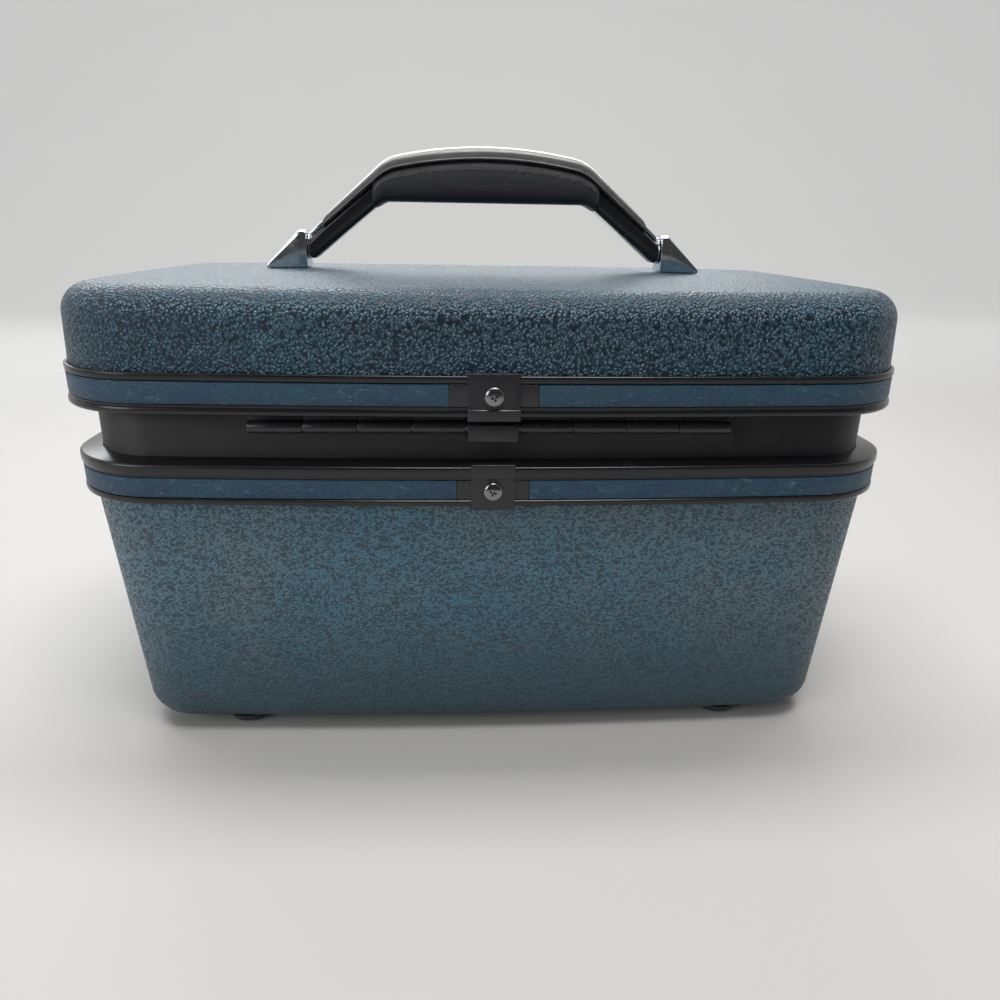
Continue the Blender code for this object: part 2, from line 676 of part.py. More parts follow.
def make_trim_band(name, face, splice_width):
    """Strip in the channel of a frame, open where the splice covers its ends."""
    inner = face.inset + CHANNEL_INSET - FIT_GAP
    outer = inner - TRIM_THICKNESS
    low, high = face.strip_levels()
    section = [(inner, low), (outer + TRIM_EDGE_ROUND, low), (outer, low + TRIM_EDGE_ROUND),
               (outer, high - TRIM_EDGE_ROUND), (outer + TRIM_EDGE_ROUND, high), (inner, high)]
    half_gap = splice_width / 2 + TRIM_END_GAP
    paths = [[Vector((point.x, point.y, level)) for point in CASE.open_path(inset, half_gap)]
             for inset, level in section]
    return loft(name, [list(station) for station in zip(*paths)], "blue_trim")


def make_splice(prefix, face, splice_width, clip_width):
    """Splice plate in the channel, the clip over it and the screw that holds both."""
    low, high = face.strip_levels()
    middle = (low + high) / 2
    plate_back = CASE.side_y(face.inset + CHANNEL_INSET, 0.0) + FIT_GAP
    plate_front = plate_back + SPLICE_THICKNESS
    plate = prism(f"{prefix}_splice_plate",
                  [(-splice_width / 2, low), (splice_width / 2, low),
                   (splice_width / 2, high), (-splice_width / 2, high)],
                  plate_back, plate_front, "Y", "black_metal")

    frame_side = CASE.side_y(face.inset, 0.0)
    clip_back = frame_side + FIT_GAP
    clip_front = clip_back + CLIP_THICKNESS
    lip_end = frame_side - CLIP_LIP_INSET
    clip_low, clip_high = sorted((face.level(-FIT_GAP), face.level(face.height + FIT_GAP)))
    profile = [
        (lip_end, clip_low - CLIP_THICKNESS), (clip_front - CLIP_THICKNESS / 2, clip_low - CLIP_THICKNESS),
        (clip_front, clip_low - CLIP_THICKNESS / 2), (clip_front, clip_high + CLIP_THICKNESS / 2),
        (clip_front - CLIP_THICKNESS / 2, clip_high + CLIP_THICKNESS), (lip_end, clip_high + CLIP_THICKNESS),
        (lip_end, clip_high), (clip_back, clip_high), (clip_back, clip_low), (lip_end, clip_low),
    ]
    clip = prism(f"{prefix}_splice_clip", profile, -clip_width / 2, clip_width / 2, "X", "black_metal")

    hole = circle_points(SPLICE_SHANK_RADIUS + FIT_GAP, centre=(0.0, middle))
    for piece in (plate, clip):
        cut(piece, prism(f"cut_{piece.name}_hole", hole, plate_back - CUT_OVERRUN,
                         clip_front + CUT_OVERRUN, "Y"))

    head_back = clip_front + FIT_GAP
    rings = [(SPLICE_SHANK_RADIUS, plate_back), (SPLICE_SHANK_RADIUS, head_back),
             (SPLICE_SCREW_RADIUS, head_back), (SPLICE_SCREW_RADIUS, head_back + SPLICE_SCREW_CROWN / 3),
             (SPLICE_SCREW_RADIUS * math.cos(math.radians(30.0)), head_back + SPLICE_SCREW_CROWN * 2 / 3),
             (SPLICE_SCREW_RADIUS / 2, head_back + SPLICE_SCREW_CROWN)]
    screw = loft(f"{prefix}_splice_screw",
                 [[Vector((x, at, z)) for x, z in circle_points(radius, centre=(0.0, middle))]
                  for radius, at in rings], "bright_screw")
    return plate, clip, screw


def curl_tongue(axis, radius, thickness, root_height, root_side, below=False):
    """Leaf metal rolled round a pin, as (y, z) from its root on one side of the pin and back to it.

    root_side is 1 where the leaf leaves the pin on its +Y side and -1 on its -Y side.
    """
    upward = -1.0 if below else 1.0
    outer, inner = [], []
    for step in range(CURL_STEPS + 1):
        angle = -CURL_TURN * step / CURL_STEPS
        for chain, reach in ((outer, radius), (inner, radius - thickness)):
            chain.append((axis[0] + root_side * reach * math.cos(angle),
                          axis[1] + upward * reach * math.sin(angle)))
    root_outer = (axis[0] + root_side * radius, root_height)
    root_inner = (axis[0] + root_side * (radius - thickness), root_height)
    return [root_outer] + outer + inner[::-1] + [root_inner]


def comb_leaf(name, tongue, strip, breaks, owned, material_name):
    """A hinge leaf: a strip along X with a tongue on each of the cells that it owns.

    The strip is the list of (y, z) from the tongue's last point round to its first, both left out.
    """
    shape = bmesh.new()
    roots = (tongue[-1], tongue[0])
    strip_points = [roots[0]] + strip + [roots[1]]

    def strip_ring(at):
        """Vertices of the strip's section at a place along X."""
        return [shape.verts.new((at, y, z)) for y, z in strip_points]

    rings = [strip_ring(at) for at in breaks]
    shape.faces.new(rings[0])
    shape.faces.new(rings[-1])
    for cell, (ring, following) in enumerate(zip(rings, rings[1:])):
        for corner in range(len(ring) - 1):
            shape.faces.new((ring[corner], ring[corner + 1], following[corner + 1], following[corner]))
        if cell not in owned:
            shape.faces.new((ring[-1], ring[0], following[0], following[-1]))
            continue
        near = [ring[-1]] + [shape.verts.new((breaks[cell], y, z)) for y, z in tongue[1:-1]] + [ring[0]]
        far = ([following[-1]] + [shape.verts.new((breaks[cell + 1], y, z)) for y, z in tongue[1:-1]]
               + [following[0]])
        for corner in range(len(near) - 1):
            shape.faces.new((near[corner], near[corner + 1], far[corner + 1], far[corner]))
        shape.faces.new(near)
        shape.faces.new(far)
    return add_object(name, shape, material_name)


def knuckle_breaks(start, pitch, count, owned, end_gap):
    """Ends along X of the cells, which an owned knuckle shortens by the gap at each end of it."""
    breaks = []
    for cell in range(count + 1):
        at = start + pitch * cell
        if cell in owned and cell - 1 not in owned:
            at += end_gap / 2
        elif cell - 1 in owned and cell not in owned:
            at -= end_gap / 2
        breaks.append(at)
    return breaks


def make_hinge():
    """Piano hinge: two combed leaves rolled round one pin, and the tab over the middle knuckle."""
    axis = (hinge_axis_y(), HINGE_AXIS_HEIGHT)
    pitch = HINGE_LENGTH / HINGE_KNUCKLES
    start = -HINGE_LENGTH / 2
    lower_cells = set(range(0, HINGE_KNUCKLES, 2))
    upper_cells = set(range(1, HINGE_KNUCKLES, 2))
    inner = axis[0] - KNUCKLE_RADIUS
    outer = inner + LEAF_THICKNESS

    strip_bottom = UPPER_FRAME_BOTTOM + FIT_GAP
    strip_top = strip_bottom + UPPER_LEAF_HEIGHT
    upper_tongue = curl_tongue(axis, KNUCKLE_RADIUS, LEAF_THICKNESS, strip_bottom, -1)
    upper = comb_leaf("hinge_upper_leaf", upper_tongue, [(outer, strip_top), (inner, strip_top)],
                      knuckle_breaks(start, pitch, HINGE_KNUCKLES, upper_cells, KNUCKLE_END_GAP),
                      upper_cells, "black_metal")

    leaf_top = NECK_TOP
    leaf_under = leaf_top - LEAF_THICKNESS
    strip_start = HALF_DEPTH - NECK_INSET
    plane = lower_leaf_plane()
    curl = curl_tongue(axis, KNUCKLE_RADIUS, LEAF_THICKNESS, leaf_under, -1)
    lower_tongue = [(strip_start, leaf_under)] + curl[:-1] + [(outer, leaf_top), (strip_start, leaf_top)]
    strip = [(plane, leaf_top), (plane, leaf_top - LOWER_LEAF_DROP),
             (plane + LEAF_THICKNESS, leaf_top - LOWER_LEAF_DROP), (plane + LEAF_THICKNESS, leaf_under)]
    lower = comb_leaf("hinge_lower_leaf", lower_tongue, strip,
                      knuckle_breaks(start, pitch, HINGE_KNUCKLES, lower_cells, KNUCKLE_END_GAP),
                      lower_cells, "black_metal")

    pin = prism("hinge_pin", circle_points(HINGE_PIN_RADIUS, 10, axis), start, -start, "X", "plain_steel")

    tab_back = axis[0] + KNUCKLE_RADIUS + FIT_GAP
    tab_front = tab_back + HINGE_TAB_WALL
    tab_top = HINGE_AXIS_HEIGHT + HINGE_TAB_RISE
    tab_bottom = HINGE_AXIS_HEIGHT - HINGE_TAB_DROP
    shelf_top = HINGE_AXIS_HEIGHT - KNUCKLE_RADIUS - FIT_GAP
    neck_side = HALF_DEPTH - NECK_INSET + FIT_GAP
    profile = [(tab_back, tab_top), (tab_front, tab_top), (tab_front, tab_bottom + HINGE_TAB_WALL / 2),
               (tab_front - HINGE_TAB_WALL / 2, tab_bottom), (neck_side, tab_bottom), (neck_side, shelf_top),
               (tab_back, shelf_top)]
    tab = prism("hinge_centre_tab", profile, -HINGE_TAB_WIDTH / 2, HINGE_TAB_WIDTH / 2, "X", "black_metal")
    return upper, lower, pin, tab


def make_foot(name, x, y):
    """Low domed foot."""
    top = FOOT_HEIGHT - FIT_GAP
    sections = []
    for radius_share, drop_share in FOOT_CROWN_SHARES:
        ring = circle_points(FOOT_RADIUS * radius_share, centre=(x, y))
        sections.append([Vector((px, py, top * (1.0 - drop_share))) for px, py in ring])
    return loft(name, sections, "foot_rubber")


def lining_levels(shift):
    """Heights and insets down one face of the body lining, moved in by the shift."""
    top_inset = NECK_INNER_INSET + FIT_GAP
    floor = FOOT_HEIGHT + BODY_WALL + FIT_GAP
    base_inset = BODY_BASE_INSET + BODY_WALL + FIT_GAP
    radius = BODY_BASE_RADIUS - BODY_WALL - FIT_GAP - shift
    levels = [(top_inset + shift, BODY_TAPER_TOP), (base_inset + shift, floor + radius + shift)]
    levels += arc_levels(base_inset + shift, floor + radius + shift, radius, radius,
                         BODY_BASE_STEPS - 1, upwards=False)
    return levels


def make_body_lining():
    """Cloth-covered liner of the body, with a padded welt on which the tray rests."""
    top_inset = NECK_INNER_INSET + FIT_GAP
    welt_bottom = LINING_TOP - WELT_HEIGHT
    outer = [(top_inset, LINING_TOP - WELT_HEIGHT / 4)] + lining_levels(0.0)
    inner = [
        (top_inset + WELT_WIDTH / 4, LINING_TOP),
        (top_inset + WELT_WIDTH * 3 / 4, LINING_TOP),
        (top_inset + WELT_WIDTH, LINING_TOP - WELT_HEIGHT / 4),
        (top_inset + WELT_WIDTH, LINING_TOP - WELT_HEIGHT * 3 / 4),
        (top_inset + LINING_WALL, welt_bottom),
    ] + lining_levels(LINING_WALL)
    return tub("body_lining", CASE, outer[::-1] + inner, "lining_cloth")


def make_lid_lining():
    """Liner of the lid, standing on the frame's upstand."""
    start = UPPER_FRAME_BOTTOM + UPSTAND_HEIGHT + FIT_GAP
    inset = NECK_INSET + FIT_GAP

    def side(wall):
        """Levels of one face, from the lower edge to the ceiling."""
        reach = LID_LINING_SHOULDER - wall
        turn = LID_CEILING + LINING_WALL - wall - reach
        return ([(inset + wall, start), (inset + wall, turn)]
                + arc_levels(inset + wall, turn, reach, reach, LID_LINING_STEPS, upwards=True))

    return tub("lid_lining", CASE, side(0.0)[::-1] + side(LINING_WALL), "lining_cloth")


def make_pocket(name, side_x):
    """Gathered cloth pocket on one end of the lining, drawn in under an elastic band."""
    points_across = POCKET_FOLDS * POCKET_FOLD_POINTS + 1
    lean = (BODY_BASE_INSET + BODY_WALL - NECK_INNER_INSET) / (BODY_TAPER_TOP - FOOT_HEIGHT - BODY_BASE_RADIUS)

    def lining_face(height, y):
        """Distance from the middle of the case to the lining's face at an end."""
        inset = NECK_INNER_INSET + FIT_GAP + LINING_WALL + lean * (BODY_TAPER_TOP - height)
        return CASE.bowed(HALF_WIDTH - inset, y).x

    sections = []
    for level_share in POCKET_LEVEL_SHARES:
        height = POCKET_BOTTOM + (POCKET_TOP - POCKET_BOTTOM) * level_share
        bag = POCKET_BAG_DEPTH * math.cos(math.pi / 2 * level_share) * math.sin(math.pi * level_share)
        fold = POCKET_FOLD_DEPTH * (POCKET_HEM_SHARE + (1.0 - POCKET_HEM_SHARE) * level_share)
        front, back = [], []
        for point in range(points_across):
            across_share = point / (points_across - 1)
            y = POCKET_LENGTH * (across_share - 0.5)
            edge_share = math.sin(math.pi * across_share) ** 0.5
            wave = 0.5 - 0.5 * math.cos(2.0 * math.pi * POCKET_FOLDS * across_share)
            face = lining_face(height, y) - POCKET_BACK_GAP
            back.append(Vector((side_x * face, y, height)))
            front.append(Vector((side_x * (face - POCKET_CLOTH - fold * wave - bag * edge_share), y, height)))
        sections.append(front + back[::-1])
    return loft(name, sections, "lining_cloth")


def make_mirror():
    """Mirror plate and the rim that holds it against the lid's ceiling."""
    seat = LID_CEILING - FIT_GAP
    lip_top = seat - MIRROR_THICKNESS - FIT_GAP
    bottom = lip_top - MIRROR_LIP_HEIGHT
    rim = Outline(HALF_WIDTH - MIRROR_END_MARGIN, HALF_DEPTH - MIRROR_SIDE_MARGIN,
                  MIRROR_CORNER + MIRROR_RIM_WIDTH)
    rabbet = MIRROR_RIM_WIDTH - FIT_GAP
    lip = MIRROR_RIM_WIDTH + MIRROR_LIP_WIDTH
    section = [(0.0, seat), (0.0, bottom + MIRROR_RIM_ROUND), (MIRROR_RIM_ROUND, bottom),
               (lip - MIRROR_LIP_HEIGHT / 2, bottom), (lip, bottom + MIRROR_LIP_HEIGHT / 2), (lip, lip_top),
               (rabbet, lip_top), (rabbet, seat)]
    frame = frame_ring("mirror_frame", rim, section, "black_frame")
    glass = tub("mirror", rim, [(MIRROR_RIM_WIDTH, seat - MIRROR_THICKNESS), (MIRROR_RIM_WIDTH, seat)],
                "mirror_glass")
    return frame, glass


def make_tray():
    """Lift-out tray with one long well in front and a row of wells behind."""
    rest = LINING_TOP + FIT_GAP
    top = rest + TRAY_FLANGE_THICKNESS
    floor = top - TRAY_DEPTH
    wall_inset = TRAY_FLANGE_INSET + TRAY_FLANGE_WIDTH
    base = wall_inset + TRAY_DRAFT
    levels = [(TRAY_FLANGE_INSET, top), (TRAY_FLANGE_INSET, rest), (wall_inset, rest),
              (base, floor + TRAY_BASE_RADIUS)]
    levels += arc_levels(base, floor + TRAY_BASE_RADIUS, TRAY_BASE_RADIUS, TRAY_BASE_RADIUS, 2, upwards=False)
    tray = tub("tray", CASE, levels, "tray_plastic")

    rim = TRAY_FLANGE_INSET + TRAY_FLANGE_WIDTH + TRAY_DRAFT + TRAY_WALL
    half_x = HALF_WIDTH - END_BOW - rim
    half_y = HALF_DEPTH - FRONT_BOW - rim
    divide = -half_y + 2 * half_y * TRAY_FRONT_WELL_SHARE
    cells = [(-half_x, half_x, -half_y, divide - TRAY_WALL / 2)]
    well_width = (2 * half_x - TRAY_WALL * (TRAY_BACK_WELLS - 1)) / TRAY_BACK_WELLS
    for well in range(TRAY_BACK_WELLS):
        left = -half_x + well * (well_width + TRAY_WALL)
        cells.append((left, left + well_width, divide + TRAY_WALL / 2, half_y))
    wells = bmesh.new()
    for left, right, near, far in cells:
        sections = []
        for height, draft in ((top + CUT_OVERRUN, 0.0), (floor + 2 * TRAY_WALL, TRAY_WELL_DRAFT),
                              (floor + TRAY_WALL, TRAY_WELL_DRAFT + TRAY_WALL)):
            ring = rounded_rectangle(left + draft, right - draft, near + draft, far - draft,
                                     TRAY_WELL_CORNER - draft, 3)
            sections.append([Vector((x, y, height)) for x, y in ring])
        add_loft(wells, sections)
    cut(tray, add_object("cut_tray_wells", wells))
    return tray


def rounded_chain(points, radii, steps):
    """A run of (x, z) points whose inner corners are rounded to the given radii."""
    chain = [Vector(points[0])]
    for before, corner, after, radius in zip(points, points[1:], points[2:], radii):
        corner = Vector(corner)
        way_in = (Vector(before) - corner).normalized()
        way_out = (Vector(after) - corner).normalized()
        half_angle = way_in.angle(way_out) / 2
        reach = radius / math.tan(half_angle)
        start = corner + way_in * reach
        end = corner + way_out * reach
        for step in range(steps + 1):
            share = step / steps
            chain.append(start * (1.0 - share) ** 2 + corner * 2.0 * share * (1.0 - share) + end * share ** 2)
    chain.append(Vector(points[-1]))
    return chain


def chain_height(chain, x):
    """Height of a chain of (x, z) points at a place along X."""
    for start, end in zip(chain, chain[1:]):
        if start.x <= x <= end.x:
            return start.y + (end.y - start.y) * (x - start.x) / max(end.x - start.x, FIT_GAP ** 2)
    return chain[-1].y


def handle_top(x):
    """Height of the top of the handle, which is crowned between its knees and falls to the posts."""
    x = abs(x)
    knee_height = HANDLE_TOP - HANDLE_TOP_DROP
    chain = rounded_chain([(0.0, HANDLE_TOP), (HANDLE_KNEE_X, knee_height), (HANDLE_END_X, HANDLE_END_TOP)],
                          [HANDLE_KNEE_ROUND], HANDLE_ROUND_STEPS)
    crown = HANDLE_TOP_DROP / 4 * max(0.0, 1.0 - ((2 * x - HANDLE_KNEE_X) / HANDLE_KNEE_X) ** 2)
    return chain_height(chain, x) + crown


def handle_under(x):
    """Height of the underside of the handle."""
    chain = rounded_chain([(0.0, HANDLE_UNDER), (HANDLE_UNDER_KNEE_X, HANDLE_UNDER),
                           (HANDLE_END_X, HANDLE_END_UNDER)], [HANDLE_UNDER_ROUND], HANDLE_ROUND_STEPS)
    return chain_height(chain, abs(x))


def arm_share(x):
    """How far along an arm of the handle a place lies, from its knee at 0 to the cover's end at 1."""
    return min(1.0, max(0.0, (abs(x) - HANDLE_KNEE_X) / (COVER_END_X - HANDLE_KNEE_X)))


def handle_seam(x):
    """Height of the seam under the handle's top cover, which thins along the arms."""
    return handle_top(x) - COVER_HEIGHT + (COVER_HEIGHT - COVER_ARM_HEIGHT) * arm_share(x)


def mirrored_stations(stations):
    """Places along X on both sides of the middle, in order."""
    return sorted({-x for x in stations} | set(stations))


def make_handle():
    """Handle: a spine with two arms, a padded grip round it, a cover along its top and bright end tongues."""
    spine_end = GRIP_HALF_LENGTH + FIT_GAP
    arm_stations = [spine_end, HANDLE_UNDER_KNEE_X + (HANDLE_END_X - HANDLE_UNDER_KNEE_X) * 0.45,
                    COVER_END_X, HANDLE_END_X]
    middle_stations = [0.0, HANDLE_KNEE_X / 3, HANDLE_KNEE_X * 2 / 3, HANDLE_KNEE_X * 0.9,
                       HANDLE_UNDER_KNEE_X, GRIP_HALF_LENGTH]

    def arm_section(x):
        """Full section of an arm below the seam."""
        ring = rounded_rectangle(-ARM_HALF_WIDTH, ARM_HALF_WIDTH, handle_under(x),
                                 handle_seam(x) - FIT_GAP, ARM_ROUND)
        return [Vector((x, y, z)) for y, z in ring]

    def spine_section(x):
        """Slim section inside the grip."""
        top = handle_seam(x) - SPINE_DROP
        ring = rounded_rectangle(-SPINE_HALF_WIDTH, SPINE_HALF_WIDTH, top - SPINE_HEIGHT, top, SPINE_ROUND)
        return [Vector((x, y, z)) for y, z in ring]

    sections = [arm_section(-x) for x in arm_stations[::-1]]
    sections += [spine_section(x) for x in mirrored_stations(middle_stations[:-1] + [spine_end])]
    sections += [arm_section(x) for x in arm_stations]
    core = loft("handle_core", sections, "handle_plastic")
    bores = bmesh.new()
    for side_x in (-1, 1):
        ring = circle_points(HANDLE_PIN_RADIUS + FIT_GAP, 12, (0.0, HANDLE_AXIS_HEIGHT))
        add_loft(bores, [[Vector((side_x * at, y, z)) for y, z in ring]
                         for at in (HANDLE_END_X - HANDLE_PIN_SEAT - FIT_GAP, HANDLE_END_X + CUT_OVERRUN)])
    cut(core, add_object("cut_handle_pin_bores", bores))

    def grip_section(x):
        """Pad wrapped round the spine from below."""
        top = handle_seam(x) - FIT_GAP
        under = handle_under(x)
        outer = rounded_rectangle(-GRIP_HALF_WIDTH, GRIP_HALF_WIDTH, under, top, GRIP_EDGE_ROUND, 3)
        right = [point for point in outer if point[0] > 0.0 and point[1] < (top + under) / 2]
        left = [point for point in outer if point[0] < 0.0 and point[1] < (top + under) / 2]
        groove = SPINE_HALF_WIDTH + FIT_GAP
        groove_floor = handle_seam(x) - SPINE_DROP - SPINE_HEIGHT - FIT_GAP
        points = (left + right + [(GRIP_HALF_WIDTH, top - GRIP_EDGE_ROUND / 2),
                                  (GRIP_HALF_WIDTH - GRIP_EDGE_ROUND / 3, top), (groove, top),
                                  (groove, groove_floor), (-groove, groove_floor), (-groove, top),
                                  (GRIP_EDGE_ROUND / 3 - GRIP_HALF_WIDTH, top),
                                  (-GRIP_HALF_WIDTH, top - GRIP_EDGE_ROUND / 2)])
        return [Vector((x, y, z)) for y, z in points]

    grip = loft("handle_grip", [grip_section(x) for x in mirrored_stations(middle_stations)], "handle_pad")

    def cover_section(x):
        """Crowned strip along the top of the handle."""
        half = COVER_HALF_WIDTH + (COVER_ARM_HALF_WIDTH - COVER_HALF_WIDTH) * arm_share(x)
        low = handle_seam(x)
        top = handle_top(x)
        edge = low + COVER_EDGE_HEIGHT
        rise = top - edge
        points = [(-half, low), (half, low), (half, edge)]
        points += [(half * math.cos(math.radians(turn)), edge + rise * math.sin(math.radians(turn)))
                   for turn in (30.0, 60.0, 90.0, 120.0, 150.0)]
        points.append((-half, edge))
        return [Vector((x, y, z)) for y, z in points]

    cover_stations = middle_stations[:-1] + [HANDLE_KNEE_X * 1.13] + arm_stations[:-1]
    cover = loft("handle_cover", [cover_section(x) for x in mirrored_stations(cover_stations)],
                 "handle_plastic")

    tongues = []
    for side_name, side_x in (("left", -1), ("right", 1)):
        sections = []
        for at in (COVER_END_X + FIT_GAP, HANDLE_END_X - TONGUE_END_GAP):
            low = handle_seam(at)
            ring = rounded_rectangle(-TONGUE_HALF_WIDTH, TONGUE_HALF_WIDTH, low, low + TONGUE_THICKNESS,
                                     TONGUE_THICKNESS / 3)
            sections.append([Vector((side_x * at, y, z)) for y, z in ring])
        tongues.append(loft(f"handle_tongue_{side_name}", sections, "chrome"))
    return [core, grip, cover] + tongues


def make_post(side_name, side_x):
    """Wedge-shaped post on the lid with its pivot pin, screw and backing plate."""
    inner_x = HANDLE_END_X + POST_GAP
    top_end = inner_x + POST_TOP_LENGTH
    stations = [(inner_x, POST_TOP, POST_HALF_WIDTH)]
    toe_top = lid_surface(POST_TOE_X, 0.0) + FIT_GAP + POST_TOE_HEIGHT
    for share in POST_SLOPE_SHARES:
        stations.append((top_end + (POST_TOE_X - top_end) * share, POST_TOP + (toe_top - POST_TOP) * share,
                         POST_HALF_WIDTH + (POST_TOE_HALF_WIDTH - POST_HALF_WIDTH) * share))
    sections = []
    for x, top, half in stations:
        edge = min(POST_EDGE_ROUND, POST_TOE_HEIGHT / 2)
        low = lid_surface(x, half) + FIT_GAP
        middle = lid_surface(x, 0.0) + FIT_GAP
        points = [(half, low), (half, top - edge), (half - edge, top), (0.0, top), (edge - half, top),
                  (-half, top - edge), (-half, low), (0.0, middle)]
        sections.append([Vector((side_x * x, y, z)) for y, z in points])
    post = loft(f"handle_post_{side_name}", sections, "chrome")
    pin_inner = HANDLE_END_X - HANDLE_PIN_SEAT
    pin_outer = inner_x + HANDLE_PIN_SEAT
    axis = (0.0, HANDLE_AXIS_HEIGHT)
    bore = loft(f"cut_post_{side_name}_bore",
                [[Vector((side_x * at, y, z)) for y, z in circle_points(HANDLE_PIN_RADIUS + FIT_GAP, 12, axis)]
                 for at in (inner_x - CUT_OVERRUN, pin_outer + FIT_GAP)])
    cut(post, bore)
    pin = loft(f"handle_pin_{side_name}",
               [[Vector((side_x * at, y, z)) for y, z in circle_points(HANDLE_PIN_RADIUS, 12, axis)]
                for at in (pin_inner, pin_outer)], "plain_steel")

    screw_x = side_x * POST_SCREW_X
    seat = lid_surface(POST_SCREW_X + BACKING_LENGTH / 2, BACKING_DEPTH / 2) - LID_WALL - FIT_GAP
    plate_low = seat - BACKING_THICKNESS
    half_x = BACKING_LENGTH / 2
    half_y = BACKING_DEPTH / 2
    plate = prism(f"handle_backing_{side_name}",
                  rounded_rectangle(screw_x - half_x, screw_x + half_x, -half_y, half_y, POST_EDGE_ROUND),
                  plate_low, seat, "Z", "plain_steel")
    hole = circle_points(POST_SCREW_RADIUS + FIT_GAP, 12, (screw_x, 0.0))
    cut(plate, prism(f"cut_backing_{side_name}_hole", hole, plate_low - CUT_OVERRUN, seat + CUT_OVERRUN, "Z"))
    screw_top = lid_surface(POST_SCREW_X, 0.0) + POST_SCREW_BITE
    cut(post, prism(f"cut_post_{side_name}_thread", hole, plate_low, screw_top + FIT_GAP, "Z"))
    head_top = plate_low - FIT_GAP
    rings = [(POST_SCREW_HEAD_RADIUS / 2, head_top - POST_SCREW_HEAD_HEIGHT),
             (POST_SCREW_HEAD_RADIUS, head_top - POST_SCREW_HEAD_HEIGHT / 2),
             (POST_SCREW_HEAD_RADIUS, head_top), (POST_SCREW_RADIUS, head_top), (POST_SCREW_RADIUS, screw_top)]
    screw = loft(f"handle_screw_{side_name}",
                 [[Vector((x, y, at)) for x, y in circle_points(radius, 12, (screw_x, 0.0))]
                  for radius, at in rings], "plain_steel")
    return [post, pin, plate, screw]


def latch_face():
    """Plane of the latches' backs, which touches the bowed front of the frames, as a distance along -Y."""
    return CASE.side_y(0.0, LATCH_X) + FIT_GAP


def latch_turn():
    """Angle between that plane and X, which follows the bow of the front."""
    rise = CASE.side_y(0.0, LATCH_X - LATCH_WIDTH / 2) - CASE.side_y(0.0, LATCH_X + LATCH_WIDTH / 2)
    return math.atan2(rise, LATCH_WIDTH)


def latch_axis():
    """Place of a latch's pin as (y, z)."""
    return (LATCH_KNUCKLE_RADIUS - LATCH_LEAF - latch_face(),
            LOWER_FRAME_TOP + LATCH_KNUCKLE_RADIUS + FIT_GAP)


